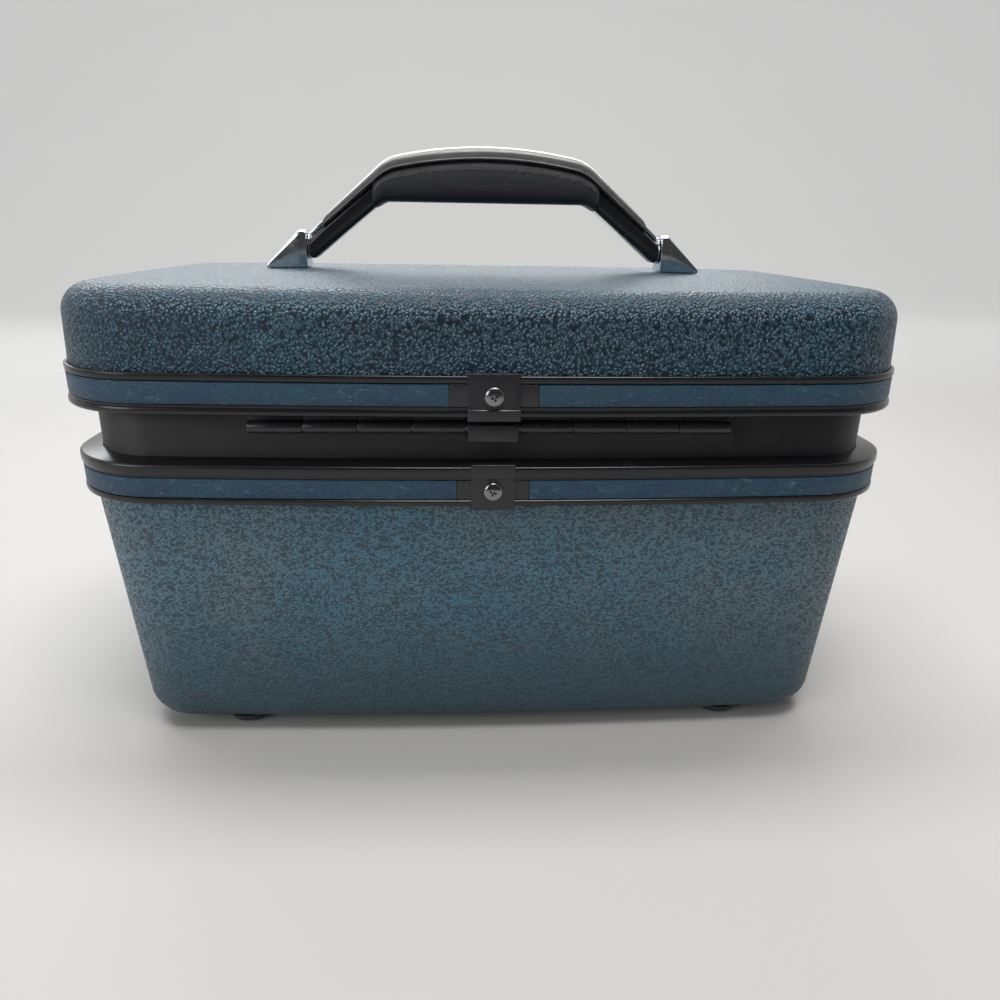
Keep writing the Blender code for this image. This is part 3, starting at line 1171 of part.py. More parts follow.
def make_latch(side_name, side_x):
    """Latch: a base on the lower frame, a sprung button in it, a hasp on a pin and a keeper on the lid."""
    face = latch_face()
    axis = latch_axis()
    centre = side_x * LATCH_X
    left = centre - LATCH_WIDTH / 2
    right = centre + LATCH_WIDTH / 2
    ear = LATCH_EAR_WIDTH
    outer = axis[0] - LATCH_KNUCKLE_RADIUS
    inner = outer + LATCH_LEAF
    block_top = LOWER_FRAME_TOP - LATCH_BLOCK_DROP
    block_bottom = block_top - LATCH_BLOCK_HEIGHT
    block_front = -face - LATCH_BLOCK_DEPTH

    tongue = curl_tongue(axis, LATCH_KNUCKLE_RADIUS, LATCH_LEAF, block_top, -1, below=True)
    seat = inner + LOWER_FRAME_INSET
    strip = [(seat, block_top - LOWER_FRAME_INSET), (seat, block_bottom),
             (block_front + LATCH_BLOCK_ROUND, block_bottom),
             (block_front, block_bottom + LATCH_BLOCK_ROUND), (block_front, block_top - LATCH_BLOCK_ROUND),
             (block_front + LATCH_BLOCK_ROUND, block_top)]
    base = comb_leaf(f"latch_base_{side_name}", tongue, strip, [left, left + ear, right - ear, right], {0, 2},
                     "chrome")

    track_low = block_bottom + (LATCH_BLOCK_HEIGHT - BUTTON_HEIGHT) / 2 - RUN_GAP
    track_high = track_low + BUTTON_HEIGHT + 2 * RUN_GAP
    track_back = -face - BUTTON_FLOOR
    rest_inner = centre - side_x * (BUTTON_LENGTH + BUTTON_TRAVEL) / 2
    rest_outer = rest_inner + side_x * BUTTON_LENGTH
    track_ends = sorted((rest_inner - side_x * RUN_GAP, rest_outer + side_x * (BUTTON_TRAVEL + RUN_GAP)))
    track = prism(f"cut_latch_{side_name}_track",
                  rounded_rectangle(track_ends[0], track_ends[1], track_low, track_high,
                                    BUTTON_ROUND + RUN_GAP),
                  track_back, block_front - CUT_OVERRUN, "Y")
    cut(base, track)

    button_ends = sorted((rest_inner, rest_outer))
    low = track_low + RUN_GAP
    high = track_high - RUN_GAP
    middle_x = (button_ends[0] + button_ends[1]) / 2
    middle_z = (low + high) / 2
    sections = []
    button_faces = ((track_back - FIT_GAP, 1.0), (block_front, 1.0),
                    (block_front - BUTTON_PROUD, BUTTON_TOP_SHARE))
    for at, share in button_faces:
        ring = rounded_rectangle(button_ends[0], button_ends[1], low, high, BUTTON_ROUND)
        sections.append([Vector((middle_x + (x - middle_x) * share, at, middle_z + (z - middle_z) * share))
                         for x, z in ring])
    button = loft(f"latch_button_{side_name}", sections, "black_frame")

    pin = prism(f"latch_pin_{side_name}", circle_points(LATCH_PIN_RADIUS, 10, axis), left, right, "X",
                "plain_steel")

    root = axis[1] + LATCH_KNUCKLE_RADIUS
    hasp_tongue = curl_tongue(axis, LATCH_KNUCKLE_RADIUS, LATCH_LEAF, root, -1)
    bulge_outer = outer - HASP_BULGE
    bulge_inner = inner - HASP_BULGE
    lip_bottom = HASP_TOP - HASP_LIP_THICKNESS
    lip_end = bulge_inner + HASP_HOOK
    hasp_strip = [
        (inner, HASP_BEND_START), (bulge_inner, HASP_BEND_END), (bulge_inner, lip_bottom),
        (lip_end, lip_bottom), (lip_end, HASP_TOP - HASP_LIP_THICKNESS / 2),
        (lip_end - HASP_LIP_THICKNESS / 2, HASP_TOP), (bulge_outer + HASP_LIP_THICKNESS / 2, HASP_TOP),
        (bulge_outer, HASP_TOP - HASP_LIP_THICKNESS / 2), (bulge_outer, HASP_BEND_END),
        (outer, HASP_BEND_START),
    ]
    hasp = comb_leaf(f"latch_hasp_{side_name}", hasp_tongue, hasp_strip,
                     [left + ear + FIT_GAP, right - ear - FIT_GAP], {0}, "chrome")

    lug_top = lip_bottom - FIT_GAP
    lug_front = bulge_inner + FIT_GAP
    plate_front = -face - KEEPER_PLATE
    plate_top = lug_top + HASP_LIP_THICKNESS
    profile = [(-face, plate_top - KEEPER_HEIGHT), (-face, plate_top), (plate_front, plate_top),
               (plate_front, lug_top), (lug_front, lug_top), (lug_front, lug_top - KEEPER_LUG_HEIGHT / 2),
               (plate_front, lug_top - KEEPER_LUG_HEIGHT * 3 / 2), (plate_front, plate_top - KEEPER_HEIGHT)]
    keeper = prism(f"latch_keeper_{side_name}", profile, centre - KEEPER_WIDTH / 2, centre + KEEPER_WIDTH / 2,
                   "X", "chrome")
    return base, track, button, pin, hasp, keeper


def build_case():
    """Make every piece and hang the moving ones on their axes."""
    clear_scene()
    make_lower_shell()
    make_lower_frame()
    make_neck_collar()
    make_trim_band("lower_trim_band", LOWER_FACE, LOWER_SPLICE_WIDTH)
    make_splice("lower", LOWER_FACE, LOWER_SPLICE_WIDTH, LOWER_CLIP_WIDTH)
    for side_name, side_x in (("left", -1), ("right", 1)):
        for end_name, side_y in (("front", -1), ("back", 1)):
            make_foot(f"foot_{end_name}_{side_name}", side_x * FOOT_X, side_y * FOOT_Y)
    make_body_lining()
    make_pocket("pocket_left", -1)
    make_pocket("pocket_right", 1)
    upper_leaf = make_hinge()[0]

    lid_pieces = [upper_leaf, make_upper_shell(), make_upper_frame(), make_lid_lining()]
    lid_pieces.append(make_trim_band("upper_trim_band", UPPER_FACE, UPPER_SPLICE_WIDTH))
    lid_pieces += make_splice("upper", UPPER_FACE, UPPER_SPLICE_WIDTH, UPPER_CLIP_WIDTH)
    lid_pieces += make_mirror()
    for side_name, side_x in (("left", -1), ("right", 1)):
        lid_pieces += make_post(side_name, side_x)
        base, track, button, pin, hasp, keeper = make_latch(side_name, side_x)
        seat = (side_x * LATCH_X, -latch_face(), 0.0)
        turn = side_x * latch_turn()
        lid_pieces.append(carry(f"seat_keeper_{side_name}", seat, [keeper], turn_z=turn))
        axis_y, axis_z = latch_axis()
        hasp_axis = carry(f"axis_hasp_{side_name}", (side_x * LATCH_X, axis_y, axis_z), [hasp], HASP_REST_ANGLE)
        carry(f"seat_latch_{side_name}", seat, [base, track, button, pin, hasp_axis], turn_z=turn)
    carry("axis_lid", (0.0, hinge_axis_y(), HINGE_AXIS_HEIGHT), lid_pieces)
    carry("axis_handle", (0.0, 0.0, HANDLE_AXIS_HEIGHT), make_handle())
    make_tray()


build_case()
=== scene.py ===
"""Looks of the cosmetic train case: shells, frames, hinge, handle, latches, feet and interior."""

import logging
from collections.abc import Callable, Sequence
from dataclasses import dataclass, field
from enum import Enum
from math import acos, atan2, cos, hypot, pi, radians, sin, sqrt, tan, tau

import bmesh
import bpy
import numpy as np
from mathutils import Matrix, Vector


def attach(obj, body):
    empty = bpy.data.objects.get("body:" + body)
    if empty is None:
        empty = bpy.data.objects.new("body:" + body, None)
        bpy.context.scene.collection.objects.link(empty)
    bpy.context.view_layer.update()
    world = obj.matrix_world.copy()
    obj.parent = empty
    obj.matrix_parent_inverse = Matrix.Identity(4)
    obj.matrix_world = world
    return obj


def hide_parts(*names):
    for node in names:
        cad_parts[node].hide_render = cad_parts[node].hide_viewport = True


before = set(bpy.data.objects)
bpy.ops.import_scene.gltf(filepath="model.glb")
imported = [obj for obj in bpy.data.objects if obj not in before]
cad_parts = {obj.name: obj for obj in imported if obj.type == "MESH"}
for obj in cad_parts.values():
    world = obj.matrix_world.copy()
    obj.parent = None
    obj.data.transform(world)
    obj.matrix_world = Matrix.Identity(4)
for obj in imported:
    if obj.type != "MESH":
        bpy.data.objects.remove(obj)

LOG = logging.getLogger("train_case")
MM = 0.001
FIT_GAP = 0.3 * MM
CUT_OVERRUN = 2.0 * MM
STATION_GAP = 0.01 * MM
SKIN_RELIEF = 0.012 * MM
PLATE_RELIEF = 0.015 * MM

Pair = tuple[float, float]
Triple = tuple[float, float, float]
Piece = bpy.types.Object


class Body(Enum):
    """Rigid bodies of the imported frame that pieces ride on."""

    CASE = "case_body"
    LID = "lid"
    HANDLE = "handle"
    TRAY = "tray"


class Side(Enum):
    """Left and right halves of what comes in pairs, seen from the latches."""

    LEFT = -1
    RIGHT = 1

    @property
    def word(self) -> str:
        """Name of the side in lower case."""
        return self.name.lower()


class Axis(Enum):
    """Direction that a flat profile is drawn out along."""

    X = 0
    Y = 1
    Z = 2


# Node trees
class Sock:
    """An output of a node that can be used in sums."""

    def __init__(self, net: "Net", socket: bpy.types.NodeSocket) -> None:
        """Keep the socket and the tree that it belongs to."""
        self.net = net
        self.socket = socket

    def math(self, operation: str, *others: "Sock | float") -> "Sock":
        """Return the result of a Math node with this value first.

        Args:
            operation: Name of the operation.
            others: The values after this one.

        Returns:
            The result.
        """
        values = {index: value for index, value in enumerate((self, *others))}
        return self.net.node("ShaderNodeMath", {"operation": operation}, values)

    def __add__(self, other: "Sock | float") -> "Sock":
        """Sum of two values."""
        return self.math("ADD", other)

    __radd__ = __add__

    def __sub__(self, other: "Sock | float") -> "Sock":
        """Difference of two values."""
        return self.math("SUBTRACT", other)

    def __rsub__(self, other: float) -> "Sock":
        """A number less this value."""
        return (self * -1.0) + other

    def __mul__(self, other: "Sock | float") -> "Sock":
        """Product of two values."""
        return self.math("MULTIPLY", other)

    __rmul__ = __mul__

    def step(self, low: float, high: float) -> "Sock":
        """Smooth rise from 0 where the value is low to 1 where it is high."""
        return self.net.node("ShaderNodeMapRange", {"interpolation_type": "SMOOTHSTEP"},
                             {"Value": self, "From Min": low, "From Max": high})


class Net:
    """A node tree that is built from one method for every kind of node."""

    def __init__(self, tree: bpy.types.NodeTree) -> None:
        """Keep the tree that the nodes are added to."""
        self.tree = tree

    @staticmethod
    def find(sockets: Sequence[bpy.types.NodeSocket], key: str | int) -> bpy.types.NodeSocket:
        """Return a socket by its place, its identifier or its name.

        Args:
            sockets: The sockets of one side of a node.
            key: The place, identifier or name.

        Returns:
            The socket.
        """
        if isinstance(key, int):
            return sockets[key]
        for socket in sockets:
            if socket.identifier == key:
                return socket
        return next(socket for socket in sockets if socket.name == key)

    def node(self, kind: str, settings: dict | None = None, inputs: dict | None = None,
             output: str | int = 0) -> Sock:
        """Add a node.

        Args:
            kind: Type of the node.
            settings: Properties of the node, with a ramp's stops under "stops".
            inputs: Values or links of its sockets, by place, identifier or name.
            output: The output that is returned.

        Returns:
            The chosen output.
        """
        made = self.tree.nodes.new(kind)
        for key, value in (settings or {}).items():
            if key == "stops":
                ramp = made.color_ramp
                while len(ramp.elements) < len(value):
                    ramp.elements.new(1.0)
                for element, (place, colour) in zip(ramp.elements, value):
                    element.position = place
                    element.color = (*colour, 1.0)
            else:
                setattr(made, key, value)
        for key, value in (inputs or {}).items():
            socket = self.find(made.inputs, key)
            if isinstance(value, Sock):
                self.tree.links.new(value.socket, socket)
            else:
                socket.default_value = value
        return Sock(self, self.find(made.outputs, output)) if made.outputs else Sock(self, None)

    def place(self) -> Sock:
        """Object coordinates, in metres."""
        return self.node("ShaderNodeTexCoord", None, None, "Object")

    def shifted(self, place: Sock, scale: float, reach: float) -> Sock:
        """Coordinates pushed about by a noise.

        Args:
            place: The coordinates.
            scale: Scale of the noise, per metre.
            reach: How far a point is pushed, in metres.

        Returns:
            The pushed coordinates.
        """
        noise = self.node("ShaderNodeTexNoise", None, {"Vector": place, "Scale": scale, "Detail": 1.0},
                          "Color")
        centred = self.node("ShaderNodeVectorMath", {"operation": "SUBTRACT"}, {0: noise, 1: (0.5, 0.5, 0.5)})
        pushed = self.node("ShaderNodeVectorMath", {"operation": "SCALE"}, {0: centred, "Scale": reach})
        return self.node("ShaderNodeVectorMath", {"operation": "ADD"}, {0: place, 1: pushed})

    def stretched(self, place: Sock, scale: Triple) -> Sock:
        """Coordinates multiplied along each axis."""
        return self.node("ShaderNodeVectorMath", {"operation": "MULTIPLY"}, {0: place, 1: scale})

    def noise(self, place: Sock, scale: float, detail: float = 2.0, roughness: float = 0.5) -> Sock:
        """Value of a noise at the coordinates."""
        return self.node("ShaderNodeTexNoise", None,
                         {"Vector": place, "Scale": scale, "Detail": detail, "Roughness": roughness}, "Fac")

    def cells(self, place: Sock, scale: float, feature: str = "SMOOTH_F1") -> Sock:
        """Distance in a field of cells at the coordinates."""
        return self.node("ShaderNodeTexVoronoi", {"feature": feature}, {"Vector": place, "Scale": scale},
                         "Distance")

    def mix(self, share: "Sock | float", first: "Sock | Triple", second: "Sock | Triple") -> Sock:
        """Colour between two colours.

        Args:
            share: How much of the second colour.
            first: Colour at a share of 0.
            second: Colour at a share of 1.

        Returns:
            The colour.
        """
        ends = {key: value if isinstance(value, Sock) else (*value, 1.0)
                for key, value in (("A_Color", first), ("B_Color", second))}
        return self.node("ShaderNodeMix", {"data_type": "RGBA"}, {"Factor_Float": share, **ends},
                         "Result_Color")

    def bump(self, height: Sock, distance: float, strength: float = 1.0, below: Sock | None = None) -> Sock:
        """Normal of a surface with the given relief, on top of another relief if there is one.

        Args:
            height: The relief.
            distance: Its height in metres.
            strength: How much of it shows.
            below: Normal of the relief under it.

        Returns:
            The normal.
        """
        inputs: dict = {"Height": height, "Distance": distance, "Strength": strength}
        if below:
            inputs["Normal"] = below
        return self.node("ShaderNodeBump", None, inputs, "Normal")


# Finishes
@dataclass(frozen=True)
class Finish:
    """A material with one colour and roughness, and a pattern that each kind adds."""

    name: str
    slot: str
    colour: Triple
    roughness: float
    metallic: float = 0.0
    coat: float = 0.0

    def material(self) -> bpy.types.Material:
        """Return the material, made the first time that it is asked for."""
        found = bpy.data.materials.get(self.name)
        if found:
            return found
        made = bpy.data.materials.new(self.name)
        made.use_nodes = True
        shader = made.node_tree.nodes["Principled BSDF"]
        for key, value in (("Base Color", (*self.colour, 1.0)), ("Roughness", self.roughness),
                           ("Metallic", self.metallic), ("Coat Weight", self.coat)):
            shader.inputs[key].default_value = value
        self.constants(shader)
        net = Net(made.node_tree)
        for key, value in self.pattern(net).items():
            net.tree.links.new(value.socket, shader.inputs[key])
        return made

    def shade(self, factor: float) -> Triple:
        """A darker or lighter shade of the colour."""
        return tuple(value * factor for value in self.colour)

    def constants(self, shader: bpy.types.ShaderNode) -> None:
        """Set the shader's other sockets that stay the same all over."""

    def pattern(self, net: Net) -> dict[str, Sock]:
        """Return what varies over the surface, by the shader's socket."""
        place = net.place()
        speckle = net.noise(place, 900.0, 3.0)
        return {"Roughness": speckle * 0.12 + (self.roughness - 0.06)}


@dataclass(frozen=True)
class PebbledShell(Finish):
    """Moulded shell covered with small raised pebbles, with painted highlights on their crowns and painted
    shade in the hollows between them.
    """

    tone: Triple = (0.008, 0.05, 0.085)
    # Colour of the painted highlights on the pebbles' crowns.
    crown: Triple = (0.12, 0.23, 0.29)
    cell: float = 1.15 * MM
    depth: float = 0.5 * MM

    def constants(self, shader: bpy.types.ShaderNode) -> None:
        """Take some gloss off the plastic."""
        shader.inputs["Specular IOR Level"].default_value = 0.42

    def pattern(self, net: Net) -> dict[str, Sock]:
        """Return colour, with painted highlights and painted shade, roughness and relief of the pebbles."""
        place = net.place()
        pushed = net.shifted(place, 0.45 / self.cell, self.cell * 1.1)
        height = 1.0 - net.cells(pushed, 1.0 / self.cell, "F1").step(0.05, 0.78)
        clouds = net.noise(place, 26.0, 3.0, 0.6).step(0.35, 0.68)
        patches = net.noise(place, 9.0, 2.0).step(0.42, 0.6)
        toned = net.mix(clouds * 0.6 + patches * 0.4, self.colour, self.tone)
        # Painted highlights on the pebbles' crowns, stronger on some crowns than on others.
        bright = net.noise(place, 700.0, 1.0).step(0.35, 0.7)
        skin = net.noise(place, 2600.0, 2.0)
        painted_highlight = height.step(0.42, 0.8) * (bright * 0.6 + 0.15)
        return {
            # Colour: painted shade darkens the hollows between the pebbles, and painted highlights lighten
            # their crowns.
            "Base Color": net.mix(painted_highlight, net.mix(height.step(0.0, 0.3), self.shade(0.3), toned),
                                  self.crown),
            "Roughness": (1.0 - height) * 0.2 + self.roughness + skin * 0.06,
            "Normal": net.bump(height, self.depth, 1.0, net.bump(skin, SKIN_RELIEF)),
        }


@dataclass(frozen=True)
class WrinkledShell(Finish):
    """Moulded shell with a wrinkled grain, clouds of two tones, painted shade in the valleys of the grain and
    painted shade darkening it towards the foot.
    """

    tone: Triple = (0.02, 0.075, 0.12)
    cell: float = 2.0 * MM
    depth: float = 0.5 * MM
    lean: Triple = (1.0, 1.0, 1.0)
    # Height over which painted shade darkens the shell towards its foot; 0 leaves it out.
    shaded: float = 0.0

    def pattern(self, net: Net) -> dict[str, Sock]:
        """Return colour, with painted shade in the valleys, roughness and relief of the grain."""
        place = net.place()
        leaning = net.stretched(place, self.lean)
        pebbles = net.cells(net.shifted(leaning, 0.5 / self.cell, self.cell * 0.9), 1.0 / self.cell,
                            "DISTANCE_TO_EDGE")
        worms = net.noise(net.shifted(leaning, 0.3 / self.cell, self.cell * 0.8), 0.62 / self.cell, 2.0)
        ridge = 1.0 - ((worms - 0.5) * 9.0).math("ABSOLUTE").step(0.0, 1.0)
        crown = pebbles.step(0.0, 0.42)
        height = crown * 0.7 + ridge * 0.45
        valley = 1.0 - height.step(0.1, 0.62)
        clouds = net.noise(place, 26.0, 3.0, 0.6).step(0.35, 0.68)
        patches = net.noise(place, 8.0, 2.0).step(0.4, 0.62)
        toned = net.mix(clouds * 0.6 + patches * 0.4, self.colour, self.tone)
        # Painted shade: the colour darkens towards the foot of the shell, below the given height.
        if self.shaded:
            height_up = net.node("ShaderNodeSeparateXYZ", None, {"Vector": place}, "Z")
            painted_shade_colour = tuple(value * 0.38 for value in self.tone)
            toned = net.mix(height_up.step(0.0, self.shaded), painted_shade_colour, toned)
        skin = net.noise(place, 2600.0, 2.0)
        return {
            # Painted shade darkens the valleys of the grain.
            "Base Color": net.mix(valley * 0.9, toned, self.shade(0.3)),
            "Roughness": valley * 0.3 + (self.roughness - 0.04) + skin * 0.08,
            "Normal": net.bump(height, self.depth, 1.0, net.bump(skin, SKIN_RELIEF)),
        }


@dataclass(frozen=True)
class CrinkledTrim(Finish):
    """Vinyl strip with fine creases along it, cloudy blue with paler streaks and painted shade in the
    creases.
    """

    tone: Triple = (0.012, 0.08, 0.125)
    pale: Triple = (0.14, 0.22, 0.3)

    def pattern(self, net: Net) -> dict[str, Sock]:
        """Return colour, with painted shade in the creases, roughness and relief of the creases."""
        place = net.place()
        pushed = net.shifted(net.shifted(place, 120.0, 5.0 * MM), 420.0, 1.6 * MM)
        long = net.stretched(pushed, (1.0, 1.0, 2.6))
        creases = net.noise(long, 420.0, 4.0, 0.62)
        veins = 1.0 - ((creases - 0.5) * 11.0).math("ABSOLUTE").step(0.0, 1.0)
        fine = net.noise(long, 1500.0, 3.0)
        clouds = net.noise(place, 60.0, 4.0, 0.65).step(0.36, 0.62)
        streaks = net.noise(long, 160.0, 4.0, 0.7).step(0.56, 0.74)
        toned = net.mix(streaks * 0.75, net.mix(clouds, self.colour, self.tone), self.pale)
        return {
            # Painted shade darkens the creases; the fine noise adds a darker mottle.
            "Base Color": net.mix(veins * 0.6 + fine * 0.3, toned, self.shade(0.35)),
            "Roughness": fine * 0.2 + veins * 0.1 + self.roughness,
            "Normal": net.bump(veins * -0.7 + fine * 0.5, 0.16 * MM),
        }


@dataclass(frozen=True)
class SandedPlastic(Finish):
    """Dull plastic with a fine sand texture."""

    grain: float = 0.45 * MM
    depth: float = 0.09 * MM

    def pattern(self, net: Net) -> dict[str, Sock]:
        """Return colour and relief of the sand texture."""
        place = net.place()
        sand = net.cells(place, 1.0 / self.grain)
        dust = net.noise(place, 60.0, 3.0)
        return {
            "Base Color": net.mix(dust.step(0.45, 0.75) * 0.5 + (1.0 - sand) * 0.3, self.colour,
                                  self.shade(1.9)),
            "Roughness": dust * 0.12 + (self.roughness - 0.06),
            "Normal": net.bump((1.0 - sand), self.depth),
        }


@dataclass(frozen=True)
class DrawnPlastic(Finish):
    """Satin plastic section with faint lines of drawing and a few rubbed places."""

    def pattern(self, net: Net) -> dict[str, Sock]:
        """Return colour, roughness and relief of the drawn surface."""
        place = net.place()
        lines = net.noise(net.stretched(place, (18.0, 18.0, 900.0)), 1.0, 3.0)
        rubs = net.noise(place, 75.0, 4.0, 0.65).step(0.55, 0.75)
        return {
            "Base Color": net.mix(rubs * 0.4, self.colour, self.shade(3.2)),
            "Roughness": lines * 0.12 + rubs * 0.12 + (self.roughness - 0.06),
            "Normal": net.bump(lines, PLATE_RELIEF),
        }


@dataclass(frozen=True)
class Enamel(Finish):
    """Painted sheet metal with a faint orange-peel surface."""

    def pattern(self, net: Net) -> dict[str, Sock]:
        """Return colour, roughness and relief of the paint."""
        place = net.place()
        peel = net.noise(place, 1100.0, 2.0)
        wear = net.noise(place, 130.0, 4.0, 0.6).step(0.5, 0.78)
        return {
            "Base Color": net.mix(wear * 0.35, self.colour, self.shade(2.4)),
            "Roughness": peel * 0.1 + wear * 0.12 + (self.roughness - 0.08),
            "Normal": net.bump(peel, 0.02 * MM),
        }


@dataclass(frozen=True)
class PlatedMetal(Finish):
    """Polished or plain plate with smears and tiny pits."""

    brushed: float = 0.0
    smeared: float = 1.0

    def pattern(self, net: Net) -> dict[str, Sock]:
        """Return colour, roughness and relief of the plate."""
        place = net.place()
        smears = net.noise(net.shifted(place, 90.0, 6.0 * MM), 120.0, 3.0).step(0.4, 0.7) * self.smeared
        pits = net.noise(place, 2200.0, 2.0).step(0.62, 0.74)
        lines = net.noise(net.stretched(place, (60.0, 60.0, 3000.0)), 1.0, 2.0)
        return {
            "Base Color": net.mix(smears * 0.35 + pits * 0.5, self.colour, self.shade(0.72)),
            "Roughness": smears * 0.07 + pits * 0.2 + lines * self.brushed + self.roughness,
            "Normal": net.bump(lines * self.brushed + pits * -0.4, PLATE_RELIEF),
        }


@dataclass(frozen=True)
class GrainedCover(Finish):
    """Leather or leather-look plastic with a fine grain."""

    grain: float = 0.7 * MM
    depth: float = 0.08 * MM

    def pattern(self, net: Net) -> dict[str, Sock]:
        """Return colour, roughness and relief of the grain."""
        place = net.place()
        cells = net.cells(net.shifted(place, 0.6 / self.grain, self.grain), 1.0 / self.grain,
                          "DISTANCE_TO_EDGE").step(0.0, 0.2)
        folds = net.noise(place, 160.0, 3.0)
        return {
            "Base Color": net.mix(cells * 0.5 + folds.step(0.4, 0.7) * 0.3, self.colour,
                                  self.shade(1.8)),
            "Roughness": (1.0 - cells) * 0.18 + folds * 0.1 + (self.roughness - 0.05),
            "Normal": net.bump(cells * 0.8 + folds * 0.5, self.depth),
        }


@dataclass(frozen=True)
class WovenCloth(Finish):
    """Lining cloth with a plain weave, slubs and a soft sheen."""

    thread: float = 0.55 * MM

    def constants(self, shader: bpy.types.ShaderNode) -> None:
        """Set the sheen of the cloth."""
        shader.inputs["Sheen Weight"].default_value = 0.35
        shader.inputs["Sheen Roughness"].default_value = 0.4
        shader.inputs["Specular IOR Level"].default_value = 0.25

    def pattern(self, net: Net) -> dict[str, Sock]:
        """Return colour, roughness and relief of the weave."""
        place = net.place()
        parts = net.node("ShaderNodeSeparateXYZ", None, {"Vector": net.shifted(place, 300.0, 0.15 * MM)}, "X")
        splitter = parts.socket.node
        turns = tau / self.thread
        waves = [Sock(net, splitter.outputs[name]).math("MULTIPLY", turns).math("SINE") for name in "XYZ"]
        weave = waves[0] * waves[2] + waves[1] * waves[2] + waves[0] * waves[1]
        slubs = net.noise(net.stretched(place, (40.0, 40.0, 900.0)), 1.0, 2.0)
        clouds = net.noise(place, 22.0, 3.0)
        return {
            "Base Color": net.mix(slubs.step(0.4, 0.75) * 0.5 + weave * 0.12 + clouds * 0.2, self.colour,
                                  self.shade(0.62)),
            "Roughness": clouds * 0.15 + (self.roughness - 0.07),
            "Normal": net.bump(weave * 0.5 + slubs, 0.07 * MM),
        }


LID_GRAIN = PebbledShell("pebbled teal lid", "teal_shell", (0.005, 0.036, 0.066), 0.22)
# The lid and the body share one teal plastic; the body's lighter colour is partly its own tone and partly
# painted light, standing in for light bounced up from the floor.
BODY_GRAIN = WrinkledShell("wrinkled teal body", "teal_shell", (0.1, 0.162, 0.2), 0.32,
                           tone=(0.055, 0.165, 0.245), cell=1.6 * MM, depth=0.34 * MM,
                           lean=(0.8, 0.8, 1.15), shaded=90.0 * MM)
TRIM = CrinkledTrim("blue crinkled trim", "blue_trim", (0.012, 0.058, 0.125), 0.3)
FRAME_BLACK = DrawnPlastic("satin black frame", "black_frame", (0.007, 0.007, 0.009), 0.24)
NECK_BLACK = SandedPlastic("sanded black neck", "black_neck", (0.009, 0.009, 0.01), 0.5)
PLATE_BLACK = Enamel("black enamel", "black_metal", (0.014, 0.014, 0.017), 0.3)
BRIGHT_SCREW = PlatedMetal("bright nickel", "bright_screw", (0.24, 0.24, 0.25), 0.16, metallic=1.0)
CHROME = PlatedMetal("polished chrome", "chrome", (0.66, 0.69, 0.73), 0.05, metallic=1.0)
STEEL = PlatedMetal("plain zinc plate", "plain_steel", (0.5, 0.5, 0.51), 0.3, metallic=1.0, brushed=0.2)
HANDLE_GLOSS = GrainedCover("glossy handle cover", "handle_plastic", (0.085, 0.085, 0.083), 0.24, coat=0.5,
                            depth=0.05 * MM)
ARM_GLOSS = Finish("glossy handle arms", "handle_plastic", (0.01, 0.01, 0.012), 0.2, coat=0.3)
GRIP_LEATHER = GrainedCover("padded grip leather", "handle_pad", (0.01, 0.01, 0.013), 0.46)
GRIP_THREAD = DrawnPlastic("grip thread", "handle_pad", (0.035, 0.036, 0.045), 0.6)
FOOT_RUBBER = SandedPlastic("moulded foot", "foot_rubber", (0.02, 0.026, 0.032), 0.6, grain=0.9 * MM)
CLOTH = WovenCloth("woven lining", "lining_cloth", (0.2, 0.29, 0.38), 0.72)
TRAY_SHEET = GrainedCover("formed tray sheet", "tray_plastic", (0.2, 0.29, 0.36), 0.4, grain=1.1 * MM,
                          depth=0.03 * MM)
MIRROR = PlatedMetal("silvered glass", "mirror_glass", (0.86, 0.88, 0.89), 0.0, metallic=1.0, smeared=0.15)
RIM_BLACK = DrawnPlastic("black mirror rim", "black_frame", (0.013, 0.013, 0.015), 0.28)


